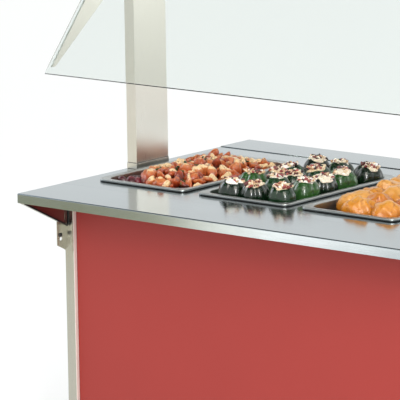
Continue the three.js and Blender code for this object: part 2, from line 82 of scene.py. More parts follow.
# %% Camera
LENS, SENSOR = 317.1, 36.0
YAW, PITCH, ROLL = 0.68911, 0.19132, -0.01462
CAMERA_FROM_CORNER = Vector((6.723, -7.334, 1.897))
FARTHEST_SEEN = 200
counter_corner = Vector((cad_low.x, cad_low.y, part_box("front_shelf")[1].z))
camera_data = bpy.data.cameras.new("camera")
camera_data.lens, camera_data.sensor_width = LENS, SENSOR
camera_data.clip_end = FARTHEST_SEEN
camera = bpy.data.objects.new("camera", camera_data)
forward = Vector(
    (-math.sin(YAW) * math.cos(PITCH), math.cos(YAW) * math.cos(PITCH), -math.sin(PITCH))
)
level_right = Vector((math.cos(YAW), math.sin(YAW), 0))
level_up = level_right.cross(forward)
right = math.cos(ROLL) * level_right + math.sin(ROLL) * level_up
up = -math.sin(ROLL) * level_right + math.cos(ROLL) * level_up
camera.matrix_world = Matrix((right, up, -forward)).transposed().to_4x4()
camera.location = counter_corner + CAMERA_FROM_CORNER
bpy.context.scene.collection.objects.link(camera)
bpy.context.scene.camera = camera
print("camera", round(camera.location.length, 2), "m from the frame's origin")

# %% [markdown]
# ## Helpers for materials
#
# Colours are written as the hex codes that a paint chart gives. Those are sRGB, and a shader
# counts light, so one function turns them to linear. Another adds a node and sets or links its
# sockets, and two small ones begin and end a material.


# %% Colour and node helpers
def linear(code):
    """An sRGB hex code as linear light: ((c + 0.055) / 1.055) ** 2.4, or c / 12.92 when dark."""
    parts = [int(code[i : i + 2], 16) / 255 for i in (1, 3, 5)]
    return tuple(c / 12.92 if c < 0.04045 else ((c + 0.055) / 1.055) ** 2.4 for c in parts) + (1.0,)


def add(material, kind, inputs=None, **settings):
    """Adds one node: settings are its properties, and inputs gives a socket a value or a link."""
    made = material.node_tree.nodes.new(kind)
    for name, value in settings.items():
        setattr(made, name, value)
    for socket, value in (inputs or {}).items():
        if isinstance(value, bpy.types.NodeSocket):
            material.node_tree.links.new(value, made.inputs[socket])
        else:
            made.inputs[socket].default_value = value
    return made


def new_material(name):
    """An empty material with its output, ready for nodes."""
    material = bpy.data.materials.new(name)
    material.use_nodes = True
    material.node_tree.nodes.clear()
    return material


def finish_with(material, shader):
    """Links the shader to the material's output and returns the material."""
    add(material, "ShaderNodeOutputMaterial", {"Surface": shader.outputs[0]})
    return material


print("#808080 is", round(linear("#808080")[0], 3), "in linear light")

# %% [markdown]
# ## Floor and light
#
# The floor is one pale sheet that runs past the horizon, and large soft lamps stand in for a
# studio's light banks: a key from the right, a fill from the left, a low one in front, one behind,
# and a narrow strip for crisp highlights on wet food. Bright metal in a white room looks like
# paper, so it gets two cards to mirror. A beige one stands where the left of the apron looks, and
# a dark one overhead draws the dark line along the counter's folds. The camera sees neither card,
# and neither casts a shadow.


# %% Floor and light banks
def flat_card(name, centre, across, upward, size):
    """A flat rectangle: centre + u * across + v * upward, u and v from minus a half to a half."""
    u, v = np.meshgrid([-0.5, 0.5], [-0.5, 0.5])
    a, b = np.array(across, float) * size[0], np.array(upward, float) * size[1]
    points = np.array(centre) + u[..., None] * a + v[..., None] * b
    mesh = bpy.data.meshes.new(name)
    mesh.from_pydata(points.reshape(-1, 3).tolist(), [], [(0, 1, 3, 2)])
    card = bpy.data.objects.new(name, mesh)
    bpy.context.scene.collection.objects.link(card)
    card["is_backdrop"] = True
    return card


floor_paint = new_material("white studio floor paint")
floor_shader = add(floor_paint, "ShaderNodeBsdfDiffuse", {"Color": linear("#f6f6f5")})
finish_with(floor_paint, floor_shader)
floor = flat_card("studio_floor", (0, 0, 0), (1, 0, 0), (0, 1, 0), (600, 600))
floor.data.materials.append(floor_paint)

flag_cloth = new_material("beige flag cloth")
flag_shader = add(flag_cloth, "ShaderNodeBsdfDiffuse", {"Color": linear("#cdc7a1")})
finish_with(flag_cloth, flag_shader)
flag = flat_card("flag_front", (-3.3, -3.0, 0.15), (0.77, -0.63, 0), (0, 0, 1), (2.1, 0.28))
ceiling_cloth = new_material("dark ceiling cloth")
ceiling_shader = add(ceiling_cloth, "ShaderNodeBsdfDiffuse", {"Color": linear("#2c2f2c")})
finish_with(ceiling_cloth, ceiling_shader)
ceiling = flat_card("flag_ceiling", (-2.7, -1.6, 4.4), (1, 0, 0), (0, 1, 0), (4.6, 5.2))
for card, cloth in ((flag, flag_cloth), (ceiling, ceiling_cloth)):
    card.data.materials.append(cloth)
    card.visible_camera = False
    card.visible_shadow = False

world = bpy.data.worlds.new("studio")
bpy.context.scene.world = world
world.use_nodes = True
surround = world.node_tree.nodes["Background"].inputs
surround["Color"].default_value = linear("#f9fbfb")
surround["Strength"].default_value = 1.12


def light_bank(name, place, target, size, power, colour):
    """A soft rectangular lamp at place, turned to face target."""
    data = bpy.data.lights.new(name, "AREA")
    data.shape, data.size, data.size_y = "RECTANGLE", size[0], size[1]
    data.energy, data.color = power, linear(colour)[:3]
    lamp = bpy.data.objects.new(name, data)
    lamp.location = place
    lamp.rotation_euler = (Vector(target) - Vector(place)).to_track_quat("-Z", "Y").to_euler()
    bpy.context.scene.collection.objects.link(lamp)
    return lamp


# Name, place, target, width and height in metres, watts and colour.
light_bank("key_bank", (2.6, -4.2, 4.6), (0, 0, 0.8), (3.0, 3.0), 150, "#fff6ea")
light_bank("left_bank", (-4.5, -1.0, 3.4), (0, 0, 0.9), (2.0, 3.0), 70, "#eef5ff")
light_bank("low_bank", (-2.2, -3.8, 0.14), (0.4, -0.5, 0.9), (1.0, 0.26), 2.0, "#fff4ee")
light_bank("rear_bank", (2.5, 3.1, 1.6), (-0.7, -0.1, 1.0), (2.0, 1.4), 17, "#ffffff")
light_bank("strip_bank", (3.6, -4.4, 2.6), (0, 0, 1.0), (0.3, 1.8), 140, "#ffffff")
bpy.context.scene.view_settings.view_transform = "Standard"
print("floor, two cards and five light banks")

# %% [markdown]
# ## Metals
#
# Kitchen stainless is 304 sheet with a number 4 finish: the mill's belt leaves fine grooves along
# one way, so highlights stretch across them. The grooves are about a twentieth of a millimetre
# apart, and are drawn 1 to 3 mm apart so that they show at all. Wiping and heat leave broad
# cloudy patches that change the roughness a little. Drawn, plated and turned metal take the same
# nodes with shorter grooves and smaller patches.


# %% Steel
def brushed(name, colour, roughness, run, groove=1.2, patch=260, depth=0.00002, stretch=60):
    """Brushed metal: grooves are noise squeezed across the run and drawn out along it.

    Grooves plus clouds carry the roughness from 0.8 to 1.25 of the one given, and the colour's
    light down to 0.86. Groove and patch are in millimetres, depth is in metres.
    """
    material = new_material(name)
    spot = add(material, "ShaderNodeTexCoord")
    scale = [1 / (groove * MM)] * 3
    scale["XYZ".index(run)] /= stretch
    along = add(material, "ShaderNodeMapping", {"Vector": spot.outputs["Object"], "Scale": scale})
    grooves = add(
        material,
        "ShaderNodeTexNoise",
        {"Vector": along.outputs[0], "Scale": 1.0, "Detail": 3.0},
    )
    clouds = add(
        material,
        "ShaderNodeTexNoise",
        {
            "Vector": spot.outputs["Object"],
            "Scale": 1 / (patch * MM),
            "Detail": 4.0,
            "Roughness": 0.6,
        },
    )
    mixed = add(
        material,
        "ShaderNodeMath",
        {0: grooves.outputs[0], 1: clouds.outputs[0]},
        operation="ADD",
    )
    rough = add(
        material,
        "ShaderNodeMapRange",
        {0: mixed.outputs[0], 1: 0.6, 2: 1.4, 3: roughness * 0.8, 4: roughness * 1.25},
    )
    pale, dark = linear(colour), [c * 0.86 for c in linear(colour)[:3]] + [1.0]
    tone = add(material, "ShaderNodeMix", {0: mixed.outputs[0], 6: pale, 7: dark}, data_type="RGBA")
    bump = add(
        material,
        "ShaderNodeBump",
        {"Height": grooves.outputs[0], "Distance": depth, "Strength": 0.6},
    )
    shader = add(
        material,
        "ShaderNodeBsdfPrincipled",
        {
            "Base Color": tone.outputs[2],
            "Roughness": rough.outputs[0],
            "Normal": bump.outputs[0],
            "Metallic": 1.0,
            "Anisotropic": 0.35,
        },
    )
    return finish_with(material, shader)


# The counter's sheet is the smoothest, a dull mirror in which pans and posts stand upside down.
counter_steel = brushed("304 stainless sheet, number 4 finish, counter top", "#9ba5a9", 0.13, "X")
# The guard's posts are the brightest upright, with wide soft highlights.
guard_steel = brushed("304 stainless box, bright brushed upright", "#e2ded4", 0.3, "Z")
# Corner posts, brackets and doors are a warmer and darker grey.
frame_steel = brushed("304 stainless tube and plate, brushed upright", "#bcbaae", 0.24, "Z")
# Rails, panel and canopy are brushed along their length, so light runs across them in bars.
rail_steel = brushed("304 stainless sheet, brushed lengthways", "#b4b5ad", 0.26, "X")
# Drawing stretches the sheet and leaves an even satin that hardly mirrors.
drawn_steel = brushed("deep-drawn stainless, satin", "#b4b7b5", 0.34, "Y", groove=2.0, stretch=6)
# Zinc plate is a bluish grey, clouded in patches a few centimetres across.
zinc = brushed("zinc-plated pressed steel", "#9a9ea1", 0.36, "X", groove=3, patch=40, stretch=2)
# The valve's brass is a dull yellow with short fine tool marks.
brass = brushed("turned valve brass", "#a98748", 0.3, "X", groove=1.0, patch=30, stretch=3)
print("seven metals")

# %% [markdown]
# ## Paint, plastics, rubber and glass
#
# The panels are powder coated: the powder melts into a skin with a faint orange peel, about 2 mm
# from crest to crest. Moulded ABS has an even eggshell grain. Tyre rubber is matt and picks up
# dust. All but one of these are plain dielectrics, so one function covers them and takes the
# grain's real size and height. The anodised bead is the exception: its metal shows through a clear
# skin of oxide, so it is partly metallic, and its near-white colour is a painted highlight.


# %% Non-metals
def coated(name, colour, roughness, grain, depth, shade=0.92, **more):
    """A skin: noise at the grain's size gives the bump, and broad noise darkens the colour.

    The darker tone has shade times the colour's light. Grain and depth are in millimetres, and
    more holds further sockets of the shader.
    """
    material = new_material(name)
    spot = add(material, "ShaderNodeTexCoord")
    fine = add(
        material,
        "ShaderNodeTexNoise",
        {"Vector": spot.outputs["Object"], "Scale": 1 / (grain * MM), "Detail": 2.0},
    )
    broad = add(
        material,
        "ShaderNodeTexNoise",
        {"Vector": spot.outputs["Object"], "Scale": 6.0, "Detail": 3.0},
    )
    darker = [c * shade for c in linear(colour)[:3]] + [1.0]
    tone = add(
        material,
        "ShaderNodeMix",
        {0: broad.outputs[0], 6: linear(colour), 7: darker},
        data_type="RGBA",
    )
    bump = add(material, "ShaderNodeBump", {"Height": fine.outputs[0], "Distance": depth * MM})
    shader = add(
        material,
        "ShaderNodeBsdfPrincipled",
        {
            "Base Color": tone.outputs[2],
            "Normal": bump.outputs[0],
            "Roughness": roughness,
            **more,
        },
    )
    return finish_with(material, shader)


# Name, colour, roughness, grain and its depth in millimetres.
# Powder coat has a soft sheen that never mirrors.
red_paint = coated(
    "polyester powder coat, brick red",
    "#94342f", 0.5, 2.0, 0.02, shade=0.95, **{"Specular IOR Level": 0.25},
)
# The gusset's red is darker than the panel's: painted shade from the shelf above.
gusset_paint_painted_shade = coated("polyester powder coat, brick red darkened as painted shade", "#702822", 0.5, 2.0, 0.02)
# Moulded ABS shows a grey, slightly spread highlight.
black_abs = coated("ABS, moulded black", "#18181a", 0.42, 0.6, 0.03)
# Silicone is a matt black line; here its black paints the shadow in narrow gaps and under rims.
black_seal_painted_shadow = coated("silicone seal, black, painted shadow", "#0c0d0e", 0.55, 1.5, 0.02)
# A dipped grip is smooth and a little uneven, like thick paint.
red_vinyl = coated("dipped vinyl grip, red", "#8c1d1a", 0.35, 3.0, 0.05)
# Tyre rubber takes no highlight at all.
grey_rubber = coated("thermoplastic rubber tyre, grey", "#55585b", 0.75, 1.0, 0.08)
# Black oxide is oiled, so its edges glint.
black_oxide = coated("black oxide bolt steel", "#161616", 0.35, 1.0, 0.02)
# The wheel's core is a waxy dark grey.
hub_plastic = coated("polypropylene wheel core, dark grey", "#2c2e30", 0.5, 1.2, 0.03)
# A lens has a clear gloss over its colour.
amber_lens = coated(
    "polycarbonate pilot lens, amber", "#d97b12", 0.15, 4.0, 0.01, **{"Coat Weight": 0.6}
)
# The anodised bead is near white, the whitest line of the front: painted highlight of the corner
# post's lit side face.
anodised = coated(
    "aluminium bead, satin anodised, painted highlight", "#efe6df", 0.4, 1.0, 0.01, **{"Metallic": 0.35}
)
# Opal acrylic and printed ink are even, warm whites.
opal_lens = coated("opal acrylic lamp cover", "#efeee8", 0.3, 5.0, 0.01)
white_ink = coated("screen-printed white ink", "#e6e6e2", 0.6, 0.8, 0.01)

guard_glass = new_material("toughened clear glass, 6 mm")
guard_shader = add(
    guard_glass,
    "ShaderNodeBsdfPrincipled",
    {"Base Color": linear("#f6fbf9"), "Roughness": 0.0, "Transmission Weight": 1.0, "IOR": 1.45},
)
finish_with(guard_glass, guard_shader)
print("twelve skins and one glass")

# %% [markdown]
# ## From arrays to meshes
#
# A surface here is a grid of points: rows along one parameter and columns round the other. One
# function joins neighbouring points into four-sided faces and closes the ends, and one puts the
# result into Blender, riding on its body. A shape made of many parts is a list of such grids.


# %% Surfaces from grids
def tube_faces(rows, columns):
    """Faces of a grid whose columns close on themselves: (i, j), (i, j+1), (i+1, j+1), (i+1, j)."""
    i, j = np.meshgrid(np.arange(rows - 1), np.arange(columns), indexing="ij")
    k = (j + 1) % columns
    here, above = i * columns, (i + 1) * columns
    return np.stack([here + j, here + k, above + k, above + j], -1)


def shell(grids):
    """Points and faces of several grids; a grid whose last ring isn't its first gets end faces."""
    points, faces, start = [], [], 0
    for grid in grids:
        rows, columns = grid.shape[:2]
        points.append(grid.reshape(-1, 3))
        faces += (tube_faces(rows, columns).reshape(-1, 4) + start).tolist()
        if not np.allclose(grid[0], grid[-1], atol=1e-6):
            faces.append(list(range(start + columns - 1, start - 1, -1)))
            faces.append(list(range(start + (rows - 1) * columns, start + rows * columns)))
        start += rows * columns
    return np.concatenate(points), faces


def piece(name, grids, body, material, replaces=(), smooth=True, tints=None):
    """One finished piece from grids: welded where a ring is a point, shaded and riding its body."""
    points, faces = shell(grids)
    mesh = bpy.data.meshes.new(name)
    mesh.from_pydata(points.tolist(), [], faces)
    if tints is not None:
        spread = [np.broadcast_to(t, g.shape[:2]).ravel() for g, t in zip(grids, tints)]
        attribute = mesh.attributes.new("tint", "FLOAT", "POINT")
        attribute.data.foreach_set("value", np.concatenate(spread).astype(np.float32))
    bm = bmesh.new()
    bm.from_mesh(mesh)
    bmesh.ops.remove_doubles(bm, verts=bm.verts, dist=1e-6)
    bmesh.ops.dissolve_degenerate(bm, edges=bm.edges, dist=1e-7)
    bmesh.ops.recalc_face_normals(bm, faces=bm.faces)
    bm.to_mesh(mesh)
    bm.free()
    mesh.polygons.foreach_set("use_smooth", [smooth] * len(mesh.polygons))
    made = bpy.data.objects.new(name, mesh)
    bpy.context.scene.collection.objects.link(made)
    made.data.materials.append(material)
    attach(made, body)
    if replaces:
        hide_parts(*replaces)
    return made


def ring_of_rectangle(half_x, half_y, radius, height, centre, per_corner=8):
    """Rings round a rectangle with round corners: corner centre plus radius * (cos t, sin t)."""
    given = (half_x, half_y, radius, height)
    half_x, half_y, radius, height = (np.atleast_1d(np.array(a, float)) for a in given)
    rows = max(len(half_x), len(height))
    turn = np.linspace(0, math.pi / 2, per_corner)
    angles = np.concatenate([turn + quarter * math.pi / 2 for quarter in range(4)])
    sign_x = np.repeat([1, -1, -1, 1], per_corner)
    sign_y = np.repeat([1, 1, -1, -1], per_corner)
    x = sign_x * (half_x - radius)[:, None] + radius[:, None] * np.cos(angles)
    y = sign_y * (half_y - radius)[:, None] + radius[:, None] * np.sin(angles)
    z = np.broadcast_to(height[:, None], (rows, len(angles)))
    return np.stack([x + centre[0], y + centre[1], z], -1)


def turned(profile, centre, axis="Z", sides=32):
    """A lathed form: each (radius, height) of the profile goes round the axis through centre."""
    profile = np.array(profile, float)
    t = np.linspace(0, 2 * math.pi, sides, endpoint=False)
    a, b = np.outer(profile[:, 0], np.cos(t)), np.outer(profile[:, 0], np.sin(t))
    h = np.broadcast_to(profile[:, 1][:, None], a.shape)
    order = {"X": (h, a, b), "Y": (b, h, a), "Z": (a, b, h)}[axis]
    return np.stack(order, -1) + np.array(centre, float)


def bar(low, high):
    """A plain bar between two corners, as two square rings."""
    (x0, y0, z0), (x1, y1, z1) = low, high
    square = np.array([(x0, y0), (x1, y0), (x1, y1), (x0, y1)])
    return np.stack([np.column_stack([square, np.full(4, z)]) for z in (z0, z1)])


print("a bar has", len(shell([bar((0, 0, 0), (1, 1, 1))])[1]), "faces")

# %% [markdown]
# ## Folded sheet and cut plate
#
# A press brake can't fold stainless to a sharp corner: the outside of a fold has a radius of about
# one and a half times the sheet. The fold mirrors another part of the room than the flat does, so
# it shows as a thin line. Each CAD node is copied, its loose triangles welded and flat neighbours
# merged, and its corners rounded by a bevel. On the counter's trays only the outer folds are
# rounded, since the inside of a 2 mm sheet has no room for more, and the three trays meet edge to
# edge.


# %% Rounded copies of CAD nodes
SHARP = math.radians(35)
FLAT = math.radians(0.5)


def rounded_copy(node, radius, material, segments=2, folds=None):
    """A welded copy of a CAD node with its corners bevelled by radius, in millimetres.

    All sharp corners are, or, if folds names sides of the node's box, only where two of them meet.
    """
    mesh = frame["nodes"][node].data.copy()
    bm = bmesh.new()
    bm.from_mesh(mesh)
    bmesh.ops.remove_doubles(bm, verts=bm.verts, dist=2e-5)
    bmesh.ops.dissolve_limit(bm, angle_limit=FLAT, verts=bm.verts, edges=bm.edges)
    if folds:
        box = dict(zip("-+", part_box(node)))
        named = [(sign, "xyz".index(axis)) for sign, axis in folds.split()]
        sides = [(box[sign][i], i) for sign, i in named]
        weight = bm.edges.layers.float.new("bevel_weight_edge")
        for edge in bm.edges:
            a, b = (v.co for v in edge.verts)
            on_side = [max(abs(a[i] - at), abs(b[i] - at)) < 1e-5 for at, i in sides]
            edge[weight] = float(sum(on_side) == 2)
            edge.smooth = sum(on_side) == 2 or edge.calc_face_angle(0) < SHARP
    bm.to_mesh(mesh)
    bm.free()
    mesh.materials.clear()
    mesh.materials.append(material)
    mesh.polygons.foreach_set("use_smooth", [True] * len(mesh.polygons))
    made = bpy.data.objects.new(node + "_rounded", mesh)
    bpy.context.scene.collection.objects.link(made)
    bevel = made.modifiers.new("rounded corners", "BEVEL")
    bevel.width, bevel.segments = radius * MM, segments
    bevel.limit_method = "WEIGHT" if folds else "ANGLE"
    bevel.angle_limit = SHARP
    flat = made.modifiers.new("flat faces stay flat", "WEIGHTED_NORMAL")
    flat.weight, flat.keep_sharp = 100, True
    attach(made, body_of_node[node])
    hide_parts(node)
    return made


rounded_copy("main_top", 2.5, counter_steel, segments=4, folds="-x +x +z")
rounded_copy("front_shelf", 3.4, counter_steel, segments=4, folds="-x +x -y +z")
rounded_copy("rear_shelf", 2.5, counter_steel, segments=4, folds="-x +x +y +z")
rounded_copy("canopy", 3.0, rail_steel, segments=4, folds="-x +x -y +y +z")
SIDES = ("left", "right")
STATIONS = range(1, 5)
for side in SIDES:
    rounded_copy("shelf_bracket_" + side, 0.8, frame_steel)
    rounded_copy("rear_bracket_" + side, 0.8, frame_steel)
    rounded_copy("guard_post_" + side, 1.5, guard_steel, segments=3)
    rounded_copy("door_" + side, 0.5, frame_steel)
    rounded_copy("brake_pedal_" + side, 1.0, black_abs)
    rounded_copy("end_panel_" + side, 0.6, red_paint)
    for end in ("front", "rear"):
        rounded_copy(f"corner_post_{end}_{side}", 1.8, frame_steel, segments=3)
        rounded_copy(f"caster_fork_{end}_{side}", 0.9, zinc)
rounded_copy("front_panel", 0.6, red_paint)
for i in STATIONS:
    rounded_copy(f"thermostat_knob_{i}", 0.9, black_abs, segments=3)
for node, radius, material in (
    ("cabinet_floor", 0.5, rail_steel),
    ("top_rail_front", 1.2, rail_steel),
    ("control_panel", 0.6, rail_steel),
    ("control_box", 0.5, zinc),
    ("drain_lever", 1.0, red_vinyl),
    ("main_switch", 0.8, black_abs),
    ("cord_gland", 0.6, black_abs),
    ("drain_valve", 0.8, brass),
    ("canopy_lamp", 2.0, opal_lens),
    ("guard_glass", 1.0, guard_glass),
    ("lamp_strip", 0.6, amber_lens),
    ("drain_manifold", 0.5, zinc),
):
    rounded_copy(node, radius, material)

# %% [markdown]
# ## Pressed pieces that keep their CAD mesh
#
# The wells and the heating elements are already round where they should be, and are hidden by the
# pans at rest, so they only take their finish.

# %% Wells and elements
for i in STATIONS:
    for node, material in ((f"well_{i}", drawn_steel), (f"heating_element_{i}", zinc)):
        data = frame["nodes"][node].data
        data.materials.clear()
        data.materials.append(material)
print("four wells and four elements")

# %% [markdown]
# ## Food pans
#
# A full-size pan is drawn from one sheet: a flat floor, a soft bend, walls that lean outwards a
# little so that pans nest, and a flat rim whose edge is rolled down for stiffness. The rim's outer
# corners are nearly square and the mouth's are wide, so the rim is broad at the corners. The
# profile below is carried round a rectangle whose corner radius changes from ring to ring, up the
# inside, over the rim and down the outside, and that closes the sheet.

# %% Pans
# Half-width, half-length and corner radius of the mouth and of the rim's edge, in millimetres.
PAN_MOUTH = (147.5, 249.0, 43.5)
PAN_RIM = (162.5, 264.5, 20.0)
PAN_SHEET = 1.5
FLOOR_BEND = 10


def pan_profile(depth):
    """Rows of (share from mouth to rim edge, inward offset, height below the rim's top), in mm."""
    bend = np.linspace(0, math.pi / 2, 5)
    in_bend = 14 - FLOOR_BEND * np.sin(bend)
    up_bend = -depth + PAN_SHEET + FLOOR_BEND * (1 - np.cos(bend))
    floor_bend = np.column_stack([0 * bend, in_bend, up_bend])
    wall = [(0, 2, -20), (0, 0.6, -4.5)]
    lip = np.column_stack([0.14 * (1 - np.cos(bend)), 0 * bend + 0.4, -3.4 + 2.6 * np.sin(bend)])
    flat = [(0.5, 0, -0.9), (0.74, 0, -0.5)]
    roll = np.column_stack([0.8 + 0.2 * np.sin(bend), 0 * bend, -2.6 + 2.6 * np.cos(bend)])
    under = [(1.0, 0, -6.0), (0.96, 0, -6.9), (0.9, 0, -6.9), (0.88, 0, -6.0), (0.86, 0, -3.2)]
    back = [(0.7, 0, -2.2), (0.3, 0, -2.3), (0.05, 0, -3.0), (0, -1.2, -5)]
    outside = [(0, 0, -20), (0, 2.6, -depth + 11), (0, 6, -depth + 3), (0, 13, -depth)]
    return np.array([*floor_bend, *wall, *lip, *flat, *roll, *under, *back, *outside])


for i in STATIONS:
    low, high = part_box(f"food_pan_{i}")
    middle = (low + high) / 2
    share, inset, height = pan_profile((high.z - low.z) / MM).T
    sizes = [m + share * (r - m) for m, r in zip(PAN_MOUTH, PAN_RIM)]
    half_x, half_y, corner = sizes[0] - inset, sizes[1] - inset, np.maximum(sizes[2] - inset, 4)
    z = high.z + height * MM
    rings = ring_of_rectangle(half_x * MM, half_y * MM, corner * MM, z, middle, per_corner=12)
    pan = f"food_pan_{i}"
    piece(pan + "_drawn", [rings], pan, drawn_steel, [pan])
print("four drawn pans")

# %% [markdown]
# ## Seals
#
# Each well is bedded on a black silicone seal, and the pan's rim rests just above it, so a black
# line runs round every pan: painted shadow under the rim. The same silicone closes the guard
# posts' feet and collars, the joints between the red front panel and its corner posts, and the
# seam of the work shelf, and its black paints the shadow in each of those gaps too.


# %% Seals under the rims, round the posts and beside the front panel, as painted shadow lines
def shadow_seal_ring(half_x, half_y, radius, centre, z0, z1, wall):
    """A closed band: outer ring up from z0 to z1, and an inner ring back down, as one round trip.

    Its wall is in millimetres, and its outer edges are cut off by EDGE.
    """
    inset = np.array([wall, EDGE, 0, 0, EDGE, wall, wall]) * MM
    height = np.array([z0, z0, z0 + EDGE * MM, z1 - EDGE * MM, z1, z1, z0])
    corner = np.maximum(radius - inset, 0.2 * MM)
    return ring_of_rectangle(half_x - inset, half_y - inset, corner, height, centre)


# The cut edge and the wall are in millimetres, the rest in metres.
EDGE = 0.3
SEAL_WALL = 3.0
SEAL_LIFT = 0.1 * MM
COLLAR_DEPTH = 148.4 * MM
COLLAR_JOINT = (17.3 * MM, 19 * MM)
top_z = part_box("main_top")[1].z
# Black bands under each pan's rolled rim: painted shadow beneath the rim.
for i in STATIONS:
    low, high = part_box(f"food_pan_{i}")
    middle = (low + high) / 2
    half_x, half_y = (high.x - low.x) / 2 - 0.6 * MM, (high.y - low.y) / 2 - 0.6 * MM
    z0, z1 = top_z + SEAL_LIFT, top_z + 1.9 * MM
    band = shadow_seal_ring(half_x, half_y, PAN_RIM[2] * MM, middle, z0, z1, SEAL_WALL)
    piece(f"pan_rim_shadow_seal_{i}", [band], "table", black_seal_painted_shadow)
# Black bands at each guard post's foot and collar joint: painted shadow lines.
for side in SIDES:
    low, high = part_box("guard_post_" + side)
    middle = ((low.x + high.x) / 2, high.y - COLLAR_DEPTH / 2)
    half_x, half_y = (high.x - low.x) / 2, COLLAR_DEPTH / 2
    z0, z1 = top_z + SEAL_LIFT, top_z + 1.2 * MM
    foot = shadow_seal_ring(half_x, half_y, 3 * MM, middle, z0, z1, SEAL_WALL)
    half_x, half_y = half_x - 0.6 * MM, half_y - 0.6 * MM
    z0, z1 = (top_z + z for z in COLLAR_JOINT)
    joint = shadow_seal_ring(half_x, half_y, 3 * MM, middle, z0, z1, SEAL_WALL)
    piece("guard_post_shadow_seal_" + side, [foot, joint], "table", black_seal_painted_shadow)
panel_low, panel_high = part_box("front_panel")
JOINT_WIDTH = 1.6 * MM
front, back = panel_low.y - 0.8 * MM, panel_low.y - 0.02 * MM
# Black strips at the panel's two ends: painted shadow in the gap beside each corner post.
edges = [
    bar((x, front, panel_low.z), (x + JOINT_WIDTH, back, panel_high.z))
    for x in (panel_low.x, panel_high.x - JOINT_WIDTH)
]
piece("front_panel_shadow_seals", edges, "table", black_seal_painted_shadow, smooth=False)
# A black strip under the rear shelf's front edge: painted shadow in the seam.
shelf_low, shelf_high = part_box("rear_shelf")
joint_low = (shelf_low.x + 4 * MM, shelf_low.y - 2.6 * MM, top_z - 6 * MM)
joint_high = (shelf_high.x - 4 * MM, shelf_low.y - 0.3 * MM, top_z - 0.4 * MM)
joint_strip = bar(joint_low, joint_high)
piece("rear_joint_shadow_seal", [joint_strip], "table", black_seal_painted_shadow, smooth=False)
print("pan, post, panel and rear joint seals")

# %% [markdown]
# ## Bolts
#
# A black hex bolt fills one hole of each joining plate, and zinc-plated ones hold the rear
# brackets. A hex head is six-sided with its corners turned off, so it is a lathed form whose
# radius follows a hexagon: r / cos(angle from the nearest flat's middle).


# %% Bolt heads
def bolt_head(centre, axis, outward, across=13.0, tall=5.0):
    """A hex head on a washer, its flats at r / cos(t mod 60 degrees - 30 degrees), in mm."""
    t = np.linspace(0, 2 * math.pi, 24, endpoint=False)
    hexagon = (across / 2) / np.cos((t % (math.pi / 3)) - math.pi / 6)
    washer = np.full_like(t, across * 0.62)
    rows = [
        (washer * 0, 0), (washer, 0), (washer, 1.2), (hexagon, 1.2),
        (hexagon, tall - 0.8), (hexagon * 0.9, tall), (hexagon * 0, tall),
    ]
    grid = []
    for radius, height in rows:
        a, b = radius * np.cos(t), radius * np.sin(t)
        h = np.full_like(t, height * outward)
        grid.append(np.stack({"X": (h, a, b), "Y": (b, h, a), "Z": (a, b, h)}[axis], -1))
    return np.array(grid) * MM + np.array(centre, float)


# Across the flats and height in millimetres.
BOLT_SIZE = (10, 4)
BRACKET_SHEET = 2.5 * MM
JOINING_BOLT = (23 * MM, 149 * MM)
for side, outward in zip(SIDES, (-1, 1)):
    low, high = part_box("shelf_bracket_" + side)
    face = (low if outward < 0 else high).x - outward * BRACKET_SHEET
    place = (face, high.y - JOINING_BOLT[0], top_z - JOINING_BOLT[1])
    head = bolt_head(place, "X", -outward, *BOLT_SIZE)
    piece("joining_bolt_" + side, [head], "table", black_oxide)
    low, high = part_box("rear_bracket_" + side)
    face = (low if outward < 0 else high).x
    places = [(face, low.y + 12 * MM, z) for z in (low.z + 14 * MM, high.z - 14 * MM)]
    heads = [bolt_head(place, "X", outward, *BOLT_SIZE) for place in places]
    piece("rear_bracket_bolts_" + side, heads, "table", zinc)
print("two joining bolts and four bracket bolts")

# %% [markdown]
# ## Gussets, edge guards and beads
#
# The shelf's gusset is a triangle that a press brake has left with bare edges, so a black strip is
# pushed over its sloping edge; the strip's black also paints the shadow line along that edge. Its
# web is painted red, darker than the panel, and the darker red is painted shade from the shelf
# above. Paint is a film, so it is a quarter of a millimetre of plate on the web. The strip follows
# the slope, turns up at the heel and climbs beside the joining plate: a rectangle carried along a
# path. An anodised bead closes the gap between each front post and the panel, and its near-white
# colour paints the highlight on the post's lit side face.


# %% Painted gussets, their edge guards and the front panel's beads
def plate_between(x0, x1, outline):
    """A flat plate across X: the same (y, z) outline at x0 and at x1, joined and capped."""
    return np.stack([np.column_stack([np.full(len(outline), x), outline]) for x in (x0, x1)])


def strip_along(path, half, x0, x1):
    """A strip on a (y, z) path: rings from x0 to x1, half above and below, square to the path."""
    path = np.array(path, float)
    way = np.gradient(path, axis=0)
    normal = np.stack([-way[:, 1], way[:, 0]], -1)
    across = normal / np.linalg.norm(way, axis=1)[:, None] * half
    low, high = path - across, path + across
    corners = ((x0, low), (x1, low), (x1, high), (x0, high))
    return np.stack([np.column_stack([np.full(len(path), x), yz]) for x, yz in corners], 1)


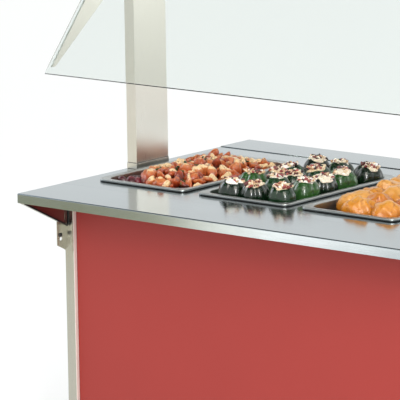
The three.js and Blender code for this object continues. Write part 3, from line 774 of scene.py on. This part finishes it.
TIP_DROP, HEEL_DROP = 30 * MM, 125 * MM
WEB_IN, LIP_IN = 5.02 * MM, 16.5 * MM
FILM = 0.25 * MM
SHELF_UNDERSIDE = 3.2 * MM
GUARD_HALF = 2.4 * MM
for side, outward in zip(SIDES, (-1, 1)):
    low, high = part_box("shelf_bracket_" + side)
    face = low.x if outward < 0 else high.x
    # Tip and heel are (y, z) pairs, so their .x runs along the table's depth and their .y upwards.
    tip, heel = Vector((low.y, top_z - TIP_DROP)), Vector((high.y - 2.9 * MM, top_z - HEEL_DROP))
    slope = (heel.y - tip.y) / (heel.x - tip.x)
    web_x, lip_x = face - outward * WEB_IN, face - outward * LIP_IN
    front, back, under = tip.x + 1.5 * MM, heel.x - 3.1 * MM, top_z - SHELF_UNDERSIDE
    outline = [
        (front, tip.y + 3 * MM), (back - 13 * MM, heel.y + 8.5 * MM - 3 * MM * slope),
        (back - 3 * MM, heel.y + 8 * MM), (back, heel.y + 11 * MM), (back, under), (front, under),
    ]
    # The darker red paint on the web is painted shade from the shelf above.
    paint = plate_between(web_x, web_x - outward * FILM, outline)
    piece("gusset_paint_painted_shade_" + side, [paint], "table", gusset_paint_painted_shade, smooth=False)
    run = [(tip.x + 2 * MM + d, tip.y + 1.2 * MM + d * slope) for d in np.linspace(0, 0.172, 6)]
    turn_up = [(heel.x - 5 * MM, heel.y + 4 * MM), (heel.x - 1.4 * MM, heel.y + 11 * MM)]
    rise = [(heel.x - 1.25 * MM, heel.y + d) for d in np.linspace(0.02, 0.09, 4)]
    x0, x1 = lip_x + outward * 1 * MM, lip_x - outward * 2.5 * MM
    # The black guard on the sloping edge also paints the shadow line there.
    guard = strip_along(run + turn_up + rise, GUARD_HALF, x0, x1)
    piece("gusset_shadow_edge_guard_" + side, [guard], "table", black_seal_painted_shadow, smooth=False)
    leg_low, leg_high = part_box("corner_post_front_" + side)
    inner = leg_high.x if outward < 0 else leg_low.x
    x0, x1 = sorted((inner - outward * 0.05 * MM, inner - outward * 2 * MM))
    # The bead's near-white colour paints the highlight on the corner post's lit side face.
    bead = bar(
        (x0, leg_low.y + 0.8 * MM, panel_low.z), (x1, panel_low.y - 0.9 * MM, panel_high.z)
    )
    piece("panel_bead_painted_highlight_" + side, [bead], "table", anodised, smooth=False)
print("gussets, edge guards and panel beads")

# %% [markdown]
# ## Casters
#
# A kitchen caster has a grey rubber tyre moulded on to a plastic core, so that it rolls quietly and
# leaves no mark. The tyre is a lathed ring with a crowned tread, the core a lathed disc with a
# stepped web, and the axle has a hex nut at each end. A ball race sits between the fork and the
# post. The profiles below are (radius, place along the axis) in millimetres.

# %% Tyres, cores, axle nuts and ball races
for end in ("front", "rear"):
    for side in SIDES:
        name = f"{end}_{side}"
        low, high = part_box("caster_wheel_" + name)
        middle = (low + high) / 2
        radius = (high.z - low.z) / 2 / MM
        tread = [
            (radius - 12, -13), (radius - 6, -13.6), (radius - 2, -11.8), (radius - 0.4, -8),
            (radius, 0), (radius - 0.4, 8), (radius - 2, 11.8), (radius - 6, 13.6),
            (radius - 12, 13), (radius - 12, -13),
        ]
        core = [
            (6.6, -15.5), (15, -15.5), (17, -14), (19, -7), (44, -6), (49, -11),
            (radius - 12.2, -12.2), (radius - 12.2, 12.2), (49, 11), (44, 6), (19, 7), (17, 14),
            (15, 15.5), (6.6, 15.5), (6.6, -15.5),
        ]
        tyre = turned(np.array(tread) * MM, middle, "X", 64)
        web = turned(np.array(core) * MM, middle, "X", 48)
        body = "wheel_" + name
        piece("tyre_" + name, [tyre], body, grey_rubber, ["caster_wheel_" + name])
        piece("wheel_core_" + name, [web], body, hub_plastic)
        fork_low, fork_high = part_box("caster_fork_" + name)
        cheeks = ((fork_low.x + 2.5 * MM, -1), (fork_high.x - 2.5 * MM, 1))
        nuts = [bolt_head((x, middle.y, middle.z), "X", way, 13, 3) for x, way in cheeks]
        piece("axle_nuts_" + name, nuts, "caster_" + name, zinc)
        post_low, post_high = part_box("corner_post_" + name)
        post = (post_low + post_high) / 2
        race = [
            (10, -6.5), (20, -6.5), (22.5, -5), (23.5, -3), (22, -1.2), (18, -0.5), (10, -0.5),
            (10, -6.5),
        ]
        ball_race = turned(np.array(race) * MM, (post.x, post.y, post_low.z), "Z", 40)
        piece("ball_race_" + name, [ball_race], "caster_" + name, zinc)
print("four casters")

# %% [markdown]
# ## Marks on the control panel
#
# Each thermostat has a ring of printed marks from off to high, and its knob a white line to read
# them by. They are thin raised bars, so that they are still there in the exported mesh.


# %% Dial marks and pointer lines
def mark(centre, angle, inner, outer, width, lift):
    """A thin bar in the XZ plane, from the inner to the outer radius, at an angle from upright."""
    s, c = math.sin(angle), math.cos(angle)
    out, side = np.array([s, 0, c]), np.array([c, 0, -s])
    flat = [inner * out - width / 2 * side, outer * out - width / 2 * side]
    flat += [outer * out + width / 2 * side, inner * out + width / 2 * side]
    rows = [np.array(flat) * MM + np.array([0, h * MM, 0]) for h in (0.02, lift)]
    return np.array(rows) + np.array(centre, float)


MARK_START, SHORT_MARK, LONG_MARK = 28, 31, 34
LONG_EVERY = 5
panel_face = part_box("control_panel")[1].y
marks = []
for i in STATIONS:
    low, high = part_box(f"thermostat_knob_{i}")
    middle = (low + high) / 2
    turns = -np.radians(np.linspace(0, 300, 11))
    for n, turn in enumerate(turns):
        end = LONG_MARK if n % LONG_EVERY == 0 else SHORT_MARK
        marks.append(mark((middle.x, panel_face, middle.z), turn, MARK_START, end, 1.2, 0.15))
    line = mark((middle.x, high.y, middle.z), 0, 6, 19.3, 1.6, 0.25)
    piece(f"knob_line_{i}", [line], f"thermostat_knob_{i}", white_ink, smooth=False)
piece("dial_marks", marks, "table", white_ink, smooth=False)
print(len(marks), "dial marks")

# %% [markdown]
# ## Food: shared shapes
#
# Cooked food is lumpy at every size, wet, and never one colour. A lump here is a ball whose radius
# swells and dips by a few sine waves of its own direction. Each lump carries one number, its tint,
# and the material turns that number into a colour, so that neighbours differ.


# %% Lumps and turns
rng = np.random.default_rng(11)
# A whole turn in radians, close enough for a random spin.
ROUND = 6.28


def turn_matrix(yaw, pitch, roll):
    """A roll about X, then a pitch about Y, then a yaw about Z, as one 3 by 3 array."""
    z, y, x = (Matrix.Rotation(a, 3, axis) for a, axis in ((yaw, "Z"), (pitch, "Y"), (roll, "X")))
    return np.array(z @ y @ x)


def any_turn(lean):
    """A turn by any angle about Z, leaning by up to lean radians about Y and about X."""
    return turn_matrix(rng.uniform(0, ROUND), rng.uniform(-lean, lean), rng.uniform(-lean, lean))


def lump(centre, size, turn, swell=0.12, waves=3, rows=9, columns=14):
    """A ball's points p times 1 + 1.7 * swell * mean of sin(k . p + phase), sized and turned."""
    down, round_it = np.linspace(0, math.pi, rows), np.linspace(0, 2 * math.pi, columns, False)
    v, u = np.meshgrid(down, round_it, indexing="ij")
    ball = np.stack([np.sin(v) * np.cos(u), np.sin(v) * np.sin(u), np.cos(v)], -1)
    push = np.zeros(v.shape)
    for _ in range(waves):
        push += np.sin(ball @ rng.normal(0, 2.6, 3) + rng.uniform(0, ROUND))
    grid = ball * (1 + swell * push / waves * 1.7)[..., None] * np.array(size)
    return grid @ turn.T * MM + np.array(centre)


def curl(centre, bend, thick, turn, rows=14, columns=10):
    """A tube on an arc bend * (cos t, sin t), as thick as thick * sqrt(sin(pi * s ** 0.8)).

    Rings like a tail's come from a ripple of 0.07 of its thickness along s.
    """
    s = np.linspace(0.01, 0.99, rows)
    t = -0.4 + s * 4.1
    u = np.linspace(0, 2 * math.pi, columns, endpoint=False)
    around = thick * np.sin(math.pi * s ** 0.8) ** 0.5 * (1 + 0.07 * np.cos(s * 44))
    reach = bend + np.outer(around, np.cos(u))
    x, y = reach * np.cos(t)[:, None], reach * np.sin(t)[:, None]
    grid = np.stack([x, y, np.outer(around, np.sin(u))], -1)
    return grid @ turn.T * MM + np.array(centre)


FREE_X, FREE_Y = 140 * MM, 242 * MM
CORNER_X, CORNER_Y = 112 * MM, 150 * MM


def pan_floor(i):
    """The middle of pan i's floor, on top of its sheet."""
    low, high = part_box(f"food_pan_{i}")
    return Vector(((low.x + high.x) / 2, (low.y + high.y) / 2, low.z + PAN_SHEET * MM))


def past_corner(u, v):
    """How far (u, v) is from a pan's near left corner, 1 being the line where its heap starts."""
    return (u + 1) * FREE_X / CORNER_X + (v + 1) * FREE_Y / CORNER_Y


def crown(u, v):
    """A heap's height, 1 in the middle of its pan: (1 - |u| ** 3) * (1 - |v| ** 4)."""
    return (1 - abs(u) ** 3) * (1 - abs(v) ** 4)


print("a curl has", curl((0, 0, 0), 15, 9, np.eye(3)).shape[0], "rings")


# %% [markdown]
# ## Food finishes
#
# Glazed food is a coloured body under a clear wet coat. The colour comes from the lump's tint
# through a ramp, and noise browns it in spots, as an oven does. A finer noise roughens the skin.
# Light that sinks in and comes out again softens most of them; a roast's crust and a pepper's
# waxy skin have none of that.


# %% Food materials
def cooked(
    name, ramp, spot_size, spot_colour, spot_amount, roughness, wet, bump_size, bump_height,
    soft=0.08,
):
    """A ramp over tint + 0.35 * noise gives the body, noise spots brown it, a clear coat wets it.

    Spot size, bump size and bump height are in millimetres. The ramp's colours lie evenly from
    0.17 upwards, the last of them at 1.
    """
    material = new_material(name)
    place = add(material, "ShaderNodeTexCoord")
    tint = add(material, "ShaderNodeAttribute", attribute_name="tint")
    grain = add(
        material,
        "ShaderNodeTexNoise",
        {"Vector": place.outputs["Object"], "Scale": 1 / (bump_size * MM), "Detail": 4.0},
    )
    drift = add(
        material,
        "ShaderNodeTexNoise",
        {
            "Vector": place.outputs["Object"],
            "Scale": 1 / (spot_size * MM),
            "Detail": 5.0,
            "Roughness": 0.6,
        },
    )
    shifted = add(
        material,
        "ShaderNodeMath",
        {0: drift.outputs[0], 1: 0.35, 2: tint.outputs["Fac"]},
        operation="MULTIPLY_ADD",
    )
    body = add(material, "ShaderNodeValToRGB", {0: shifted.outputs[0]})
    while len(body.color_ramp.elements) < len(ramp):
        body.color_ramp.elements.new(0.5)
    for n, code in enumerate(ramp):
        body.color_ramp.elements[n].position = 0.17 + n / (len(ramp) - 1)
        body.color_ramp.elements[n].color = linear(code)
    spots = add(
        material,
        "ShaderNodeMapRange",
        {0: drift.outputs[0], 1: 0.56, 2: 0.7, 3: 0.0, 4: spot_amount},
    )
    tone = add(
        material,
        "ShaderNodeMix",
        {0: spots.outputs[0], 6: body.outputs[0], 7: linear(spot_colour)},
        data_type="RGBA",
    )
    bump = add(
        material,
        "ShaderNodeBump",
        {"Height": grain.outputs[0], "Distance": bump_height * MM, "Strength": 0.8},
    )
    shader = add(
        material,
        "ShaderNodeBsdfPrincipled",
        {
            "Base Color": tone.outputs[2],
            "Roughness": roughness,
            "Normal": bump.outputs[0],
            "Subsurface Weight": soft,
            "Subsurface Radius": (0.012, 0.006, 0.003),
            "Coat Weight": wet,
            "Coat Roughness": 0.12,
        },
    )
    return finish_with(material, shader)


# Name, ramp, spot size, spot colour, spot strength, roughness, wetness, bump size and height.
# A glazed roast runs from burnt brown to pale meat; as its tint rises with height, the pale end
# paints the light on top and the dark end the shade below.
roast = cooked(
    "roasted shellfish and chicken, glazed",
    ["#220804", "#6a200c", "#983a16", "#b45425", "#cd7e4a", "#ecc998"],
    13, "#3a0f06", 0.9, 0.36, 0.2, 5, 1.2, soft=0.0,
)
# Beetroot is a deep wet red.
beet = cooked(
    "roasted beetroot, dark red",
    ["#2c040c", "#4e0e1a", "#6c1e2a"],
    12, "#1c0206", 0.5, 0.35, 0.3, 5, 0.5,
)
# Parsley is dry and dull beside it.
herbs = cooked(
    "chopped parsley",
    ["#23381a", "#47562c", "#5f6a34"],
    5, "#142010", 0.5, 0.6, 0.1, 3, 0.4,
)
# The sauce is near black, so besides being sauce it paints the shade in every gap between pieces.
sauce = cooked(
    "dark pan sauce, near black as painted shade",
    ["#140603", "#260d06", "#381808"],
    14, "#0c0402", 0.6, 0.3, 0.2, 9, 0.8,
)
# A pepper's skin is smooth wax, so it carries the strip light as a bright upright line.
pepper_skin = cooked(
    "green bell pepper skin, waxy",
    ["#041108", "#0b2410", "#15391b", "#2e5424", "#5f7730"],
    26, "#020c06", 0.9, 0.2, 0.3, 12, 0.25, soft=0.0,
)
# Crumb and cheese are pale, rough and nearly dry.
stuffing = cooked(
    "bread and cheese stuffing",
    ["#b98a66", "#e6cba4", "#f6ead6", "#fffaf0"],
    5, "#7a3a26", 0.8, 0.7, 0.05, 3.5, 1.6,
)
# The bits range from charred to pink.
bits = cooked(
    "chopped red pepper and ham",
    ["#2a1410", "#7a2626", "#b05650", "#241612"],
    6, "#1a0a08", 0.4, 0.5, 0.2, 3, 0.4,
)
# Baked squash is deep orange, browned in patches and glazed by its own sugar.
squash_flesh = cooked(
    "baked squash, orange flesh",
    ["#5e1f0a", "#94400c", "#b86412", "#cc8624", "#d89c4c"],
    16, "#8a3412", 0.8, 0.34, 0.35, 6, 1.6, soft=0.05,
)
# Trimmings between the halves are the same flesh in darker browns, which paint the shade in the gaps.
squash_gap = cooked(
    "squash trimmings, darkened as painted shade",
    ["#4a180c", "#7e3014", "#b8561e"],
    14, "#260c06", 0.6, 0.5, 0.2, 6, 0.6,
)
print("nine food finishes")

# %% [markdown]
# ## Pan 1: roasted shellfish and chicken
#
# The heap is a bed of dark sauce with two layers of lumps and curled tails piled on it. Places come
# from a jittered grid, so that the pile is even but never regular, and each piece sits on a low
# crown. The tint rises with height inside each piece, painted light on its top and painted shade
# below, and the lower layer is darker, painted shade in the gaps. The corner nearest the customer's
# left holds beetroot instead.


# %% Roast heap
def painted_light_by_height(grid, base, rise):
    """The base tint plus rise times the height within the piece, from minus a half to a half: painted
    light, paler on top and darker below.
    """
    z = grid[..., 2]
    return np.clip(base + rise * ((z - z.min()) / np.ptp(z) - 0.5), 0, 0.98)


# Columns, rows, height over the floor and rise towards the middle of each layer, in millimetres.
LAYERS = ((7, 12, 24, 12), (8, 15, 47, 24))
WALL_GAP = 15 * MM
CURLED = 0.3
CURL_BEND, CURL_THICK = 15, 9
origin = pan_floor(1)
grids, tints = [], []
for columns, rows, lift, crown_rise in LAYERS:
    for n in range(columns * rows):
        shift = 0.5 + 0.25 * (-1) ** (n // columns)
        u = ((n % columns) + shift) / columns * 2 - 1 + rng.uniform(-0.07, 0.07)
        v = ((n // columns) + 0.5) / rows * 2 - 1 + rng.uniform(-0.04, 0.04)
        kind, spin = rng.uniform(), rng.uniform(0, ROUND)
        lean = rng.uniform(-1.1, 1.1, 2)
        size = rng.uniform((12, 11, 17), (20, 17, 29))
        if past_corner(u, v) < 1:
            continue
        height = (lift + crown_rise * crown(u, v)) * MM
        spot = origin + Vector((u * (FREE_X - WALL_GAP), v * (FREE_Y - WALL_GAP), height))
        turn = turn_matrix(spin, *lean)
        if kind < CURLED:
            grid = curl(spot, CURL_BEND, CURL_THICK, turn)
        else:
            grid = lump(spot, size, turn, swell=0.34, waves=4, rows=13, columns=20)
        grids.append(grid)
        # The lower layer is darker: painted shade in the gaps under the upper pieces.
        base = np.clip(rng.normal(0.3 + 0.14 * (lift > 30), 0.2), 0.05, 0.9)
        tints.append(painted_light_by_height(grid, base, 0.85))
roast_heap = piece(
    "food_seafood_pieces", grids, "food_pan_1", roast, ["food_seafood"], tints=tints
)
print(len(grids), "roast pieces,", len(roast_heap.data.polygons), "faces")

# %% [markdown]
# ## Pan 1: sauce, beetroot and herbs
#
# Sauce runs out of a roast and fills the pan's floor, so it is one low cushion with small waves;
# its near-black colour also paints the shade under the pieces.
# Sixteen lumps of beetroot lie in the bare corner in two layers, and thin flakes of parsley are
# scattered over the heap.


# %% Sauce bed, beetroot and herbs
def bed(i, height, bumps, inset=3):
    """A low cushion: a rectangle's rings times 1 - s ** 1.5, rising by height millimetres.

    The height goes by sqrt(3 s), and waves of sin(190 x + 1) * sin(150 y) times bumps die out at
    the edge and in the middle.
    """
    centre = pan_floor(i)
    s = np.linspace(0, 1, 9)
    shrink = 1 - s ** 1.5
    z = centre.z + (0.4 + height * np.minimum(1, 3 * s) ** 0.5) * MM
    edge_x, edge_y = (FREE_X - inset * MM) * shrink, (FREE_Y - inset * MM) * shrink
    rings = ring_of_rectangle(edge_x, edge_y, 38 * MM * shrink, z, centre, per_corner=10)
    wave = np.sin(rings[..., 0] * 190 + 1) * np.sin(rings[..., 1] * 150) * bumps * MM
    rings[..., 2] += wave * np.minimum(1, 3 * s)[:, None] * shrink[:, None]
    return rings


# The near-black sauce bed paints the shade in the gaps between roast pieces.
piece("sauce_bed", [bed(1, 5, 2)], "food_pan_1", sauce, tints=[0.4])
grids = []
for n in range(16):
    x, y = -100 + rng.uniform(-8, 34), -200 + rng.uniform(-16, 46)
    spot = origin + Vector((x, y, 18 + 34 * (n % 2))) * MM
    turn = turn_matrix(rng.uniform(0, ROUND), rng.uniform(-1, 1), 0)
    grids.append(lump(spot, rng.uniform((13, 12, 11), (19, 16, 15)), turn))
piece("beetroot", grids, "food_pan_1", beet, tints=rng.uniform(0, 0.9, len(grids)))
grids = []
for n in range(40):
    u, v = rng.uniform(-0.85, 0.85), rng.uniform(-0.9, 0.9)
    turn = any_turn(1)
    size = rng.uniform((4, 3, 1.2), (9, 6, 2.5))
    if past_corner(u, v) < 1.3:
        continue
    spot = origin + Vector((u * FREE_X * 0.85, v * FREE_Y * 0.9, (60 + 26 * crown(u, v)) * MM))
    grids.append(lump(spot, size, turn, rows=6, columns=8))
piece("herb_leaves", grids, "food_pan_1", herbs, tints=rng.uniform(0, 0.9, len(grids)))
print("sauce, beetroot and", len(grids), "herb leaves")

# %% [markdown]
# ## Pan 2: stuffed peppers
#
# A bell pepper is a barrel with three to five lobes: its radius is a smooth profile up the side,
# drawn in by up to 0.22 of itself between the lobes. Its top is cut off and the lip turns in. The
# stuffing is a mound that hangs a little over the lip, with chopped bits pressed into it.


# %% Peppers
def pepper(centre, radius, tall, lobes, phase, turn):
    """Rings of radius * profile(s), drawn in by 0.22 of 1 - |cos(lobes * t / 2 + phase)| ** 0.6."""
    s = np.array([0, 0.03, 0.1, 0.22, 0.38, 0.54, 0.69, 0.81, 0.9, 0.96, 1.0, 0.99, 0.95])
    wide = np.array([0, 0.45, 0.72, 0.9, 0.99, 1.0, 0.96, 0.89, 0.79, 0.69, 0.59, 0.52, 0.42])
    t = np.linspace(0, 2 * math.pi, 48, endpoint=False)
    lobe = np.abs(np.cos(lobes * t / 2 + phase)) ** 0.6
    ring = 1 - 0.22 * (1 - lobe) * np.minimum(1, 4 * wide)[:, None]
    reach = radius * wide[:, None] * ring
    lift = tall * s[:, None] + 4.0 * (lobe - 0.5) * (s ** 2)[:, None]
    grid = np.stack([reach * np.cos(t), reach * np.sin(t), np.broadcast_to(lift, reach.shape)], -1)
    return grid @ turn.T * MM + np.array(centre)


PEPPER_STEP_X, PEPPER_STEP_Y = 92, 97
SKIN_TINTS, SKIN_SHARES = [0.1, 0.3, 0.5, 0.7, 0.85], [0.15, 0.3, 0.35, 0.18, 0.02]
MOUND_REACH, MOUND_HALF, MOUND_TALL = 27, 30, 10
CRUMBS = 26
origin = pan_floor(2)
skins, skin_tints, mounds, mound_tints, scraps, scrap_tints = [], [], [], [], [], []
for n in range(15):
    column, row = n % 3, n // 3
    x = (column - 1) * PEPPER_STEP_X + rng.uniform(-5, 5)
    y = (row - 2) * PEPPER_STEP_Y + rng.uniform(-6, 6)
    spot = origin + Vector((x, y, 12)) * MM
    turn = any_turn(0.18)
    tall, radius = rng.uniform(78, 88), rng.uniform(44, 48)
    lobes, phase = rng.integers(3, 6), rng.uniform(0, 3)
    skins.append(pepper(spot, radius, tall, lobes, phase, turn))
    skin_tints.append(float(rng.choice(SKIN_TINTS, p=SKIN_SHARES)))
    top = np.array(spot) + turn @ np.array([0, 0, (tall - 1) * MM])
    size = rng.uniform((24, 23, 8), (29, 27, 11))
    mounds.append(lump(top, size, turn, swell=0.3, waves=7, rows=20, columns=34))
    mound_tints.append(float(rng.uniform(0.3, 0.9)))
    for crumb in range(CRUMBS):
        way, reach = rng.uniform(0, ROUND), MOUND_REACH * math.sqrt(rng.uniform(0, 1))
        rise = MOUND_TALL * math.sqrt(max(0, 1 - (reach / MOUND_HALF) ** 2))
        at = top + turn @ np.array([reach * math.cos(way), reach * math.sin(way), rise]) * MM
        spin = any_turn(0.7)
        size = rng.uniform((4, 3, 2.4), (9, 6, 4.5))
        shape = lump(at, size, spin, swell=0.2, rows=7, columns=10)
        tone = float(rng.uniform(0, 0.95))
        if crumb % 2:
            mounds.append(shape)
            mound_tints.append(tone)
        else:
            scraps.append(shape)
            scrap_tints.append(tone)
piece(
    "pepper_skins", skins, "food_pan_2", pepper_skin, ["food_peppers"],
    tints=skin_tints,
)
piece("pepper_stuffing", mounds, "food_pan_2", stuffing, tints=mound_tints)
piece("pepper_toppings", scraps, "food_pan_2", bits, tints=scrap_tints)
# The same near-black sauce under the peppers paints the shade between them.
piece("pepper_juice", [bed(2, 16, 2)], "food_pan_2", sauce, tints=[0.2])
print(len(skins), "peppers with", len(scraps), "bits")

# %% [markdown]
# ## Pan 3: baked squash halves
#
# Each half is a dome with shallow ribs running to its crown: a ball's upper part, drawn in by up
# to 0.07 of its radius between the ribs, and closed flat below. They lean on one another, and
# trimmings in darker browns fill the gaps, their colour painting the shade there. The corner
# nearest the customer's left is bare, and shows the pan.


# %% Squash
def half_squash(centre, size, ribs, turn):
    """A dome: r = size * sin(v), less 0.07 between ribs, z = size * cos(v), gently swollen."""
    v = np.concatenate([np.linspace(0, 1.75, 12), [2.0, 2.4]])
    t = np.linspace(0, 2 * math.pi, 40, endpoint=False)
    rib = 1 - 0.07 * (1 - np.abs(np.cos(ribs * t / 2)) ** 0.6)
    reach = np.sin(v)[:, None] * (1 + (rib - 1) * np.minimum(1, 2 * v)[:, None])
    low = np.where(v > 1.75, np.cos(1.75), np.cos(v))
    z = np.broadcast_to(low[:, None], reach.shape)
    grid = np.stack([reach * np.cos(t) * size[0], reach * np.sin(t) * size[1], z * size[2]], -1)
    push = sum(
        np.sin(grid @ rng.normal(0, k, 3) + rng.uniform(0, 6)) * 0.006 / k
        for k in (0.06, 0.09, 0.14, 0.2)
    )
    return (grid * (1 + push)[..., None]) @ turn.T * MM + np.array(centre)


SQUASH_STEP_X, SQUASH_STEP_Y = 84, 77
origin = pan_floor(3)
grids, tints = [], []
for row in range(6):
    for column in range(3):
        x = (column - 1) * SQUASH_STEP_X + (5 if row % 2 else -3) + rng.uniform(-6, 6)
        y = (row - 2.5) * SQUASH_STEP_Y + 8 + rng.uniform(-5, 5)
        lean = rng.uniform(-0.35, 0.35, 2)
        size = rng.uniform((44, 40, 40), (50, 46, 48))
        ribs = rng.integers(6, 9)
        if row == 0 and column == 0:
            continue
        spot = origin + Vector((x, y, rng.uniform(46, 56))) * MM
        grid = half_squash(spot, size, ribs, turn_matrix(rng.uniform(0, ROUND), *lean))
        grids.append(grid)
        # The tint rises with height: painted light on each dome's top, painted shade on its lower
        # side.
        tints.append(painted_light_by_height(grid, rng.uniform(0.3, 0.75), 0.4))
piece("squash_halves", grids, "food_pan_3", squash_flesh, ["food_squash"], tints=tints)
trimmings = []
for n in range(60):
    u, v = rng.uniform(-0.85, 0.88), rng.uniform(-0.88, 0.92)
    turn = any_turn(1)
    size = rng.uniform((14, 12, 10), (24, 18, 15))
    if past_corner(u, v) < 1.15:
        continue
    spot = origin + Vector((u * FREE_X, v * FREE_Y, rng.uniform(34, 58) * MM))
    trimmings.append(lump(spot, size, turn))
# Darker trimmings in the gaps: painted shade between the halves.
tints = rng.uniform(0, 0.9, len(trimmings))
piece("squash_trimmings", trimmings, "food_pan_3", squash_gap, tints=tints)
print(len(grids), "squash halves and", len(trimmings), "trimmings")

# %% [markdown]
# ## The size of the looks
#
# The box round everything that renders, floor and cards left out, is printed.

# %% Size
low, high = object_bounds()
print("visual box", [round(v, 4) for v in low], [round(v, 4) for v in high])
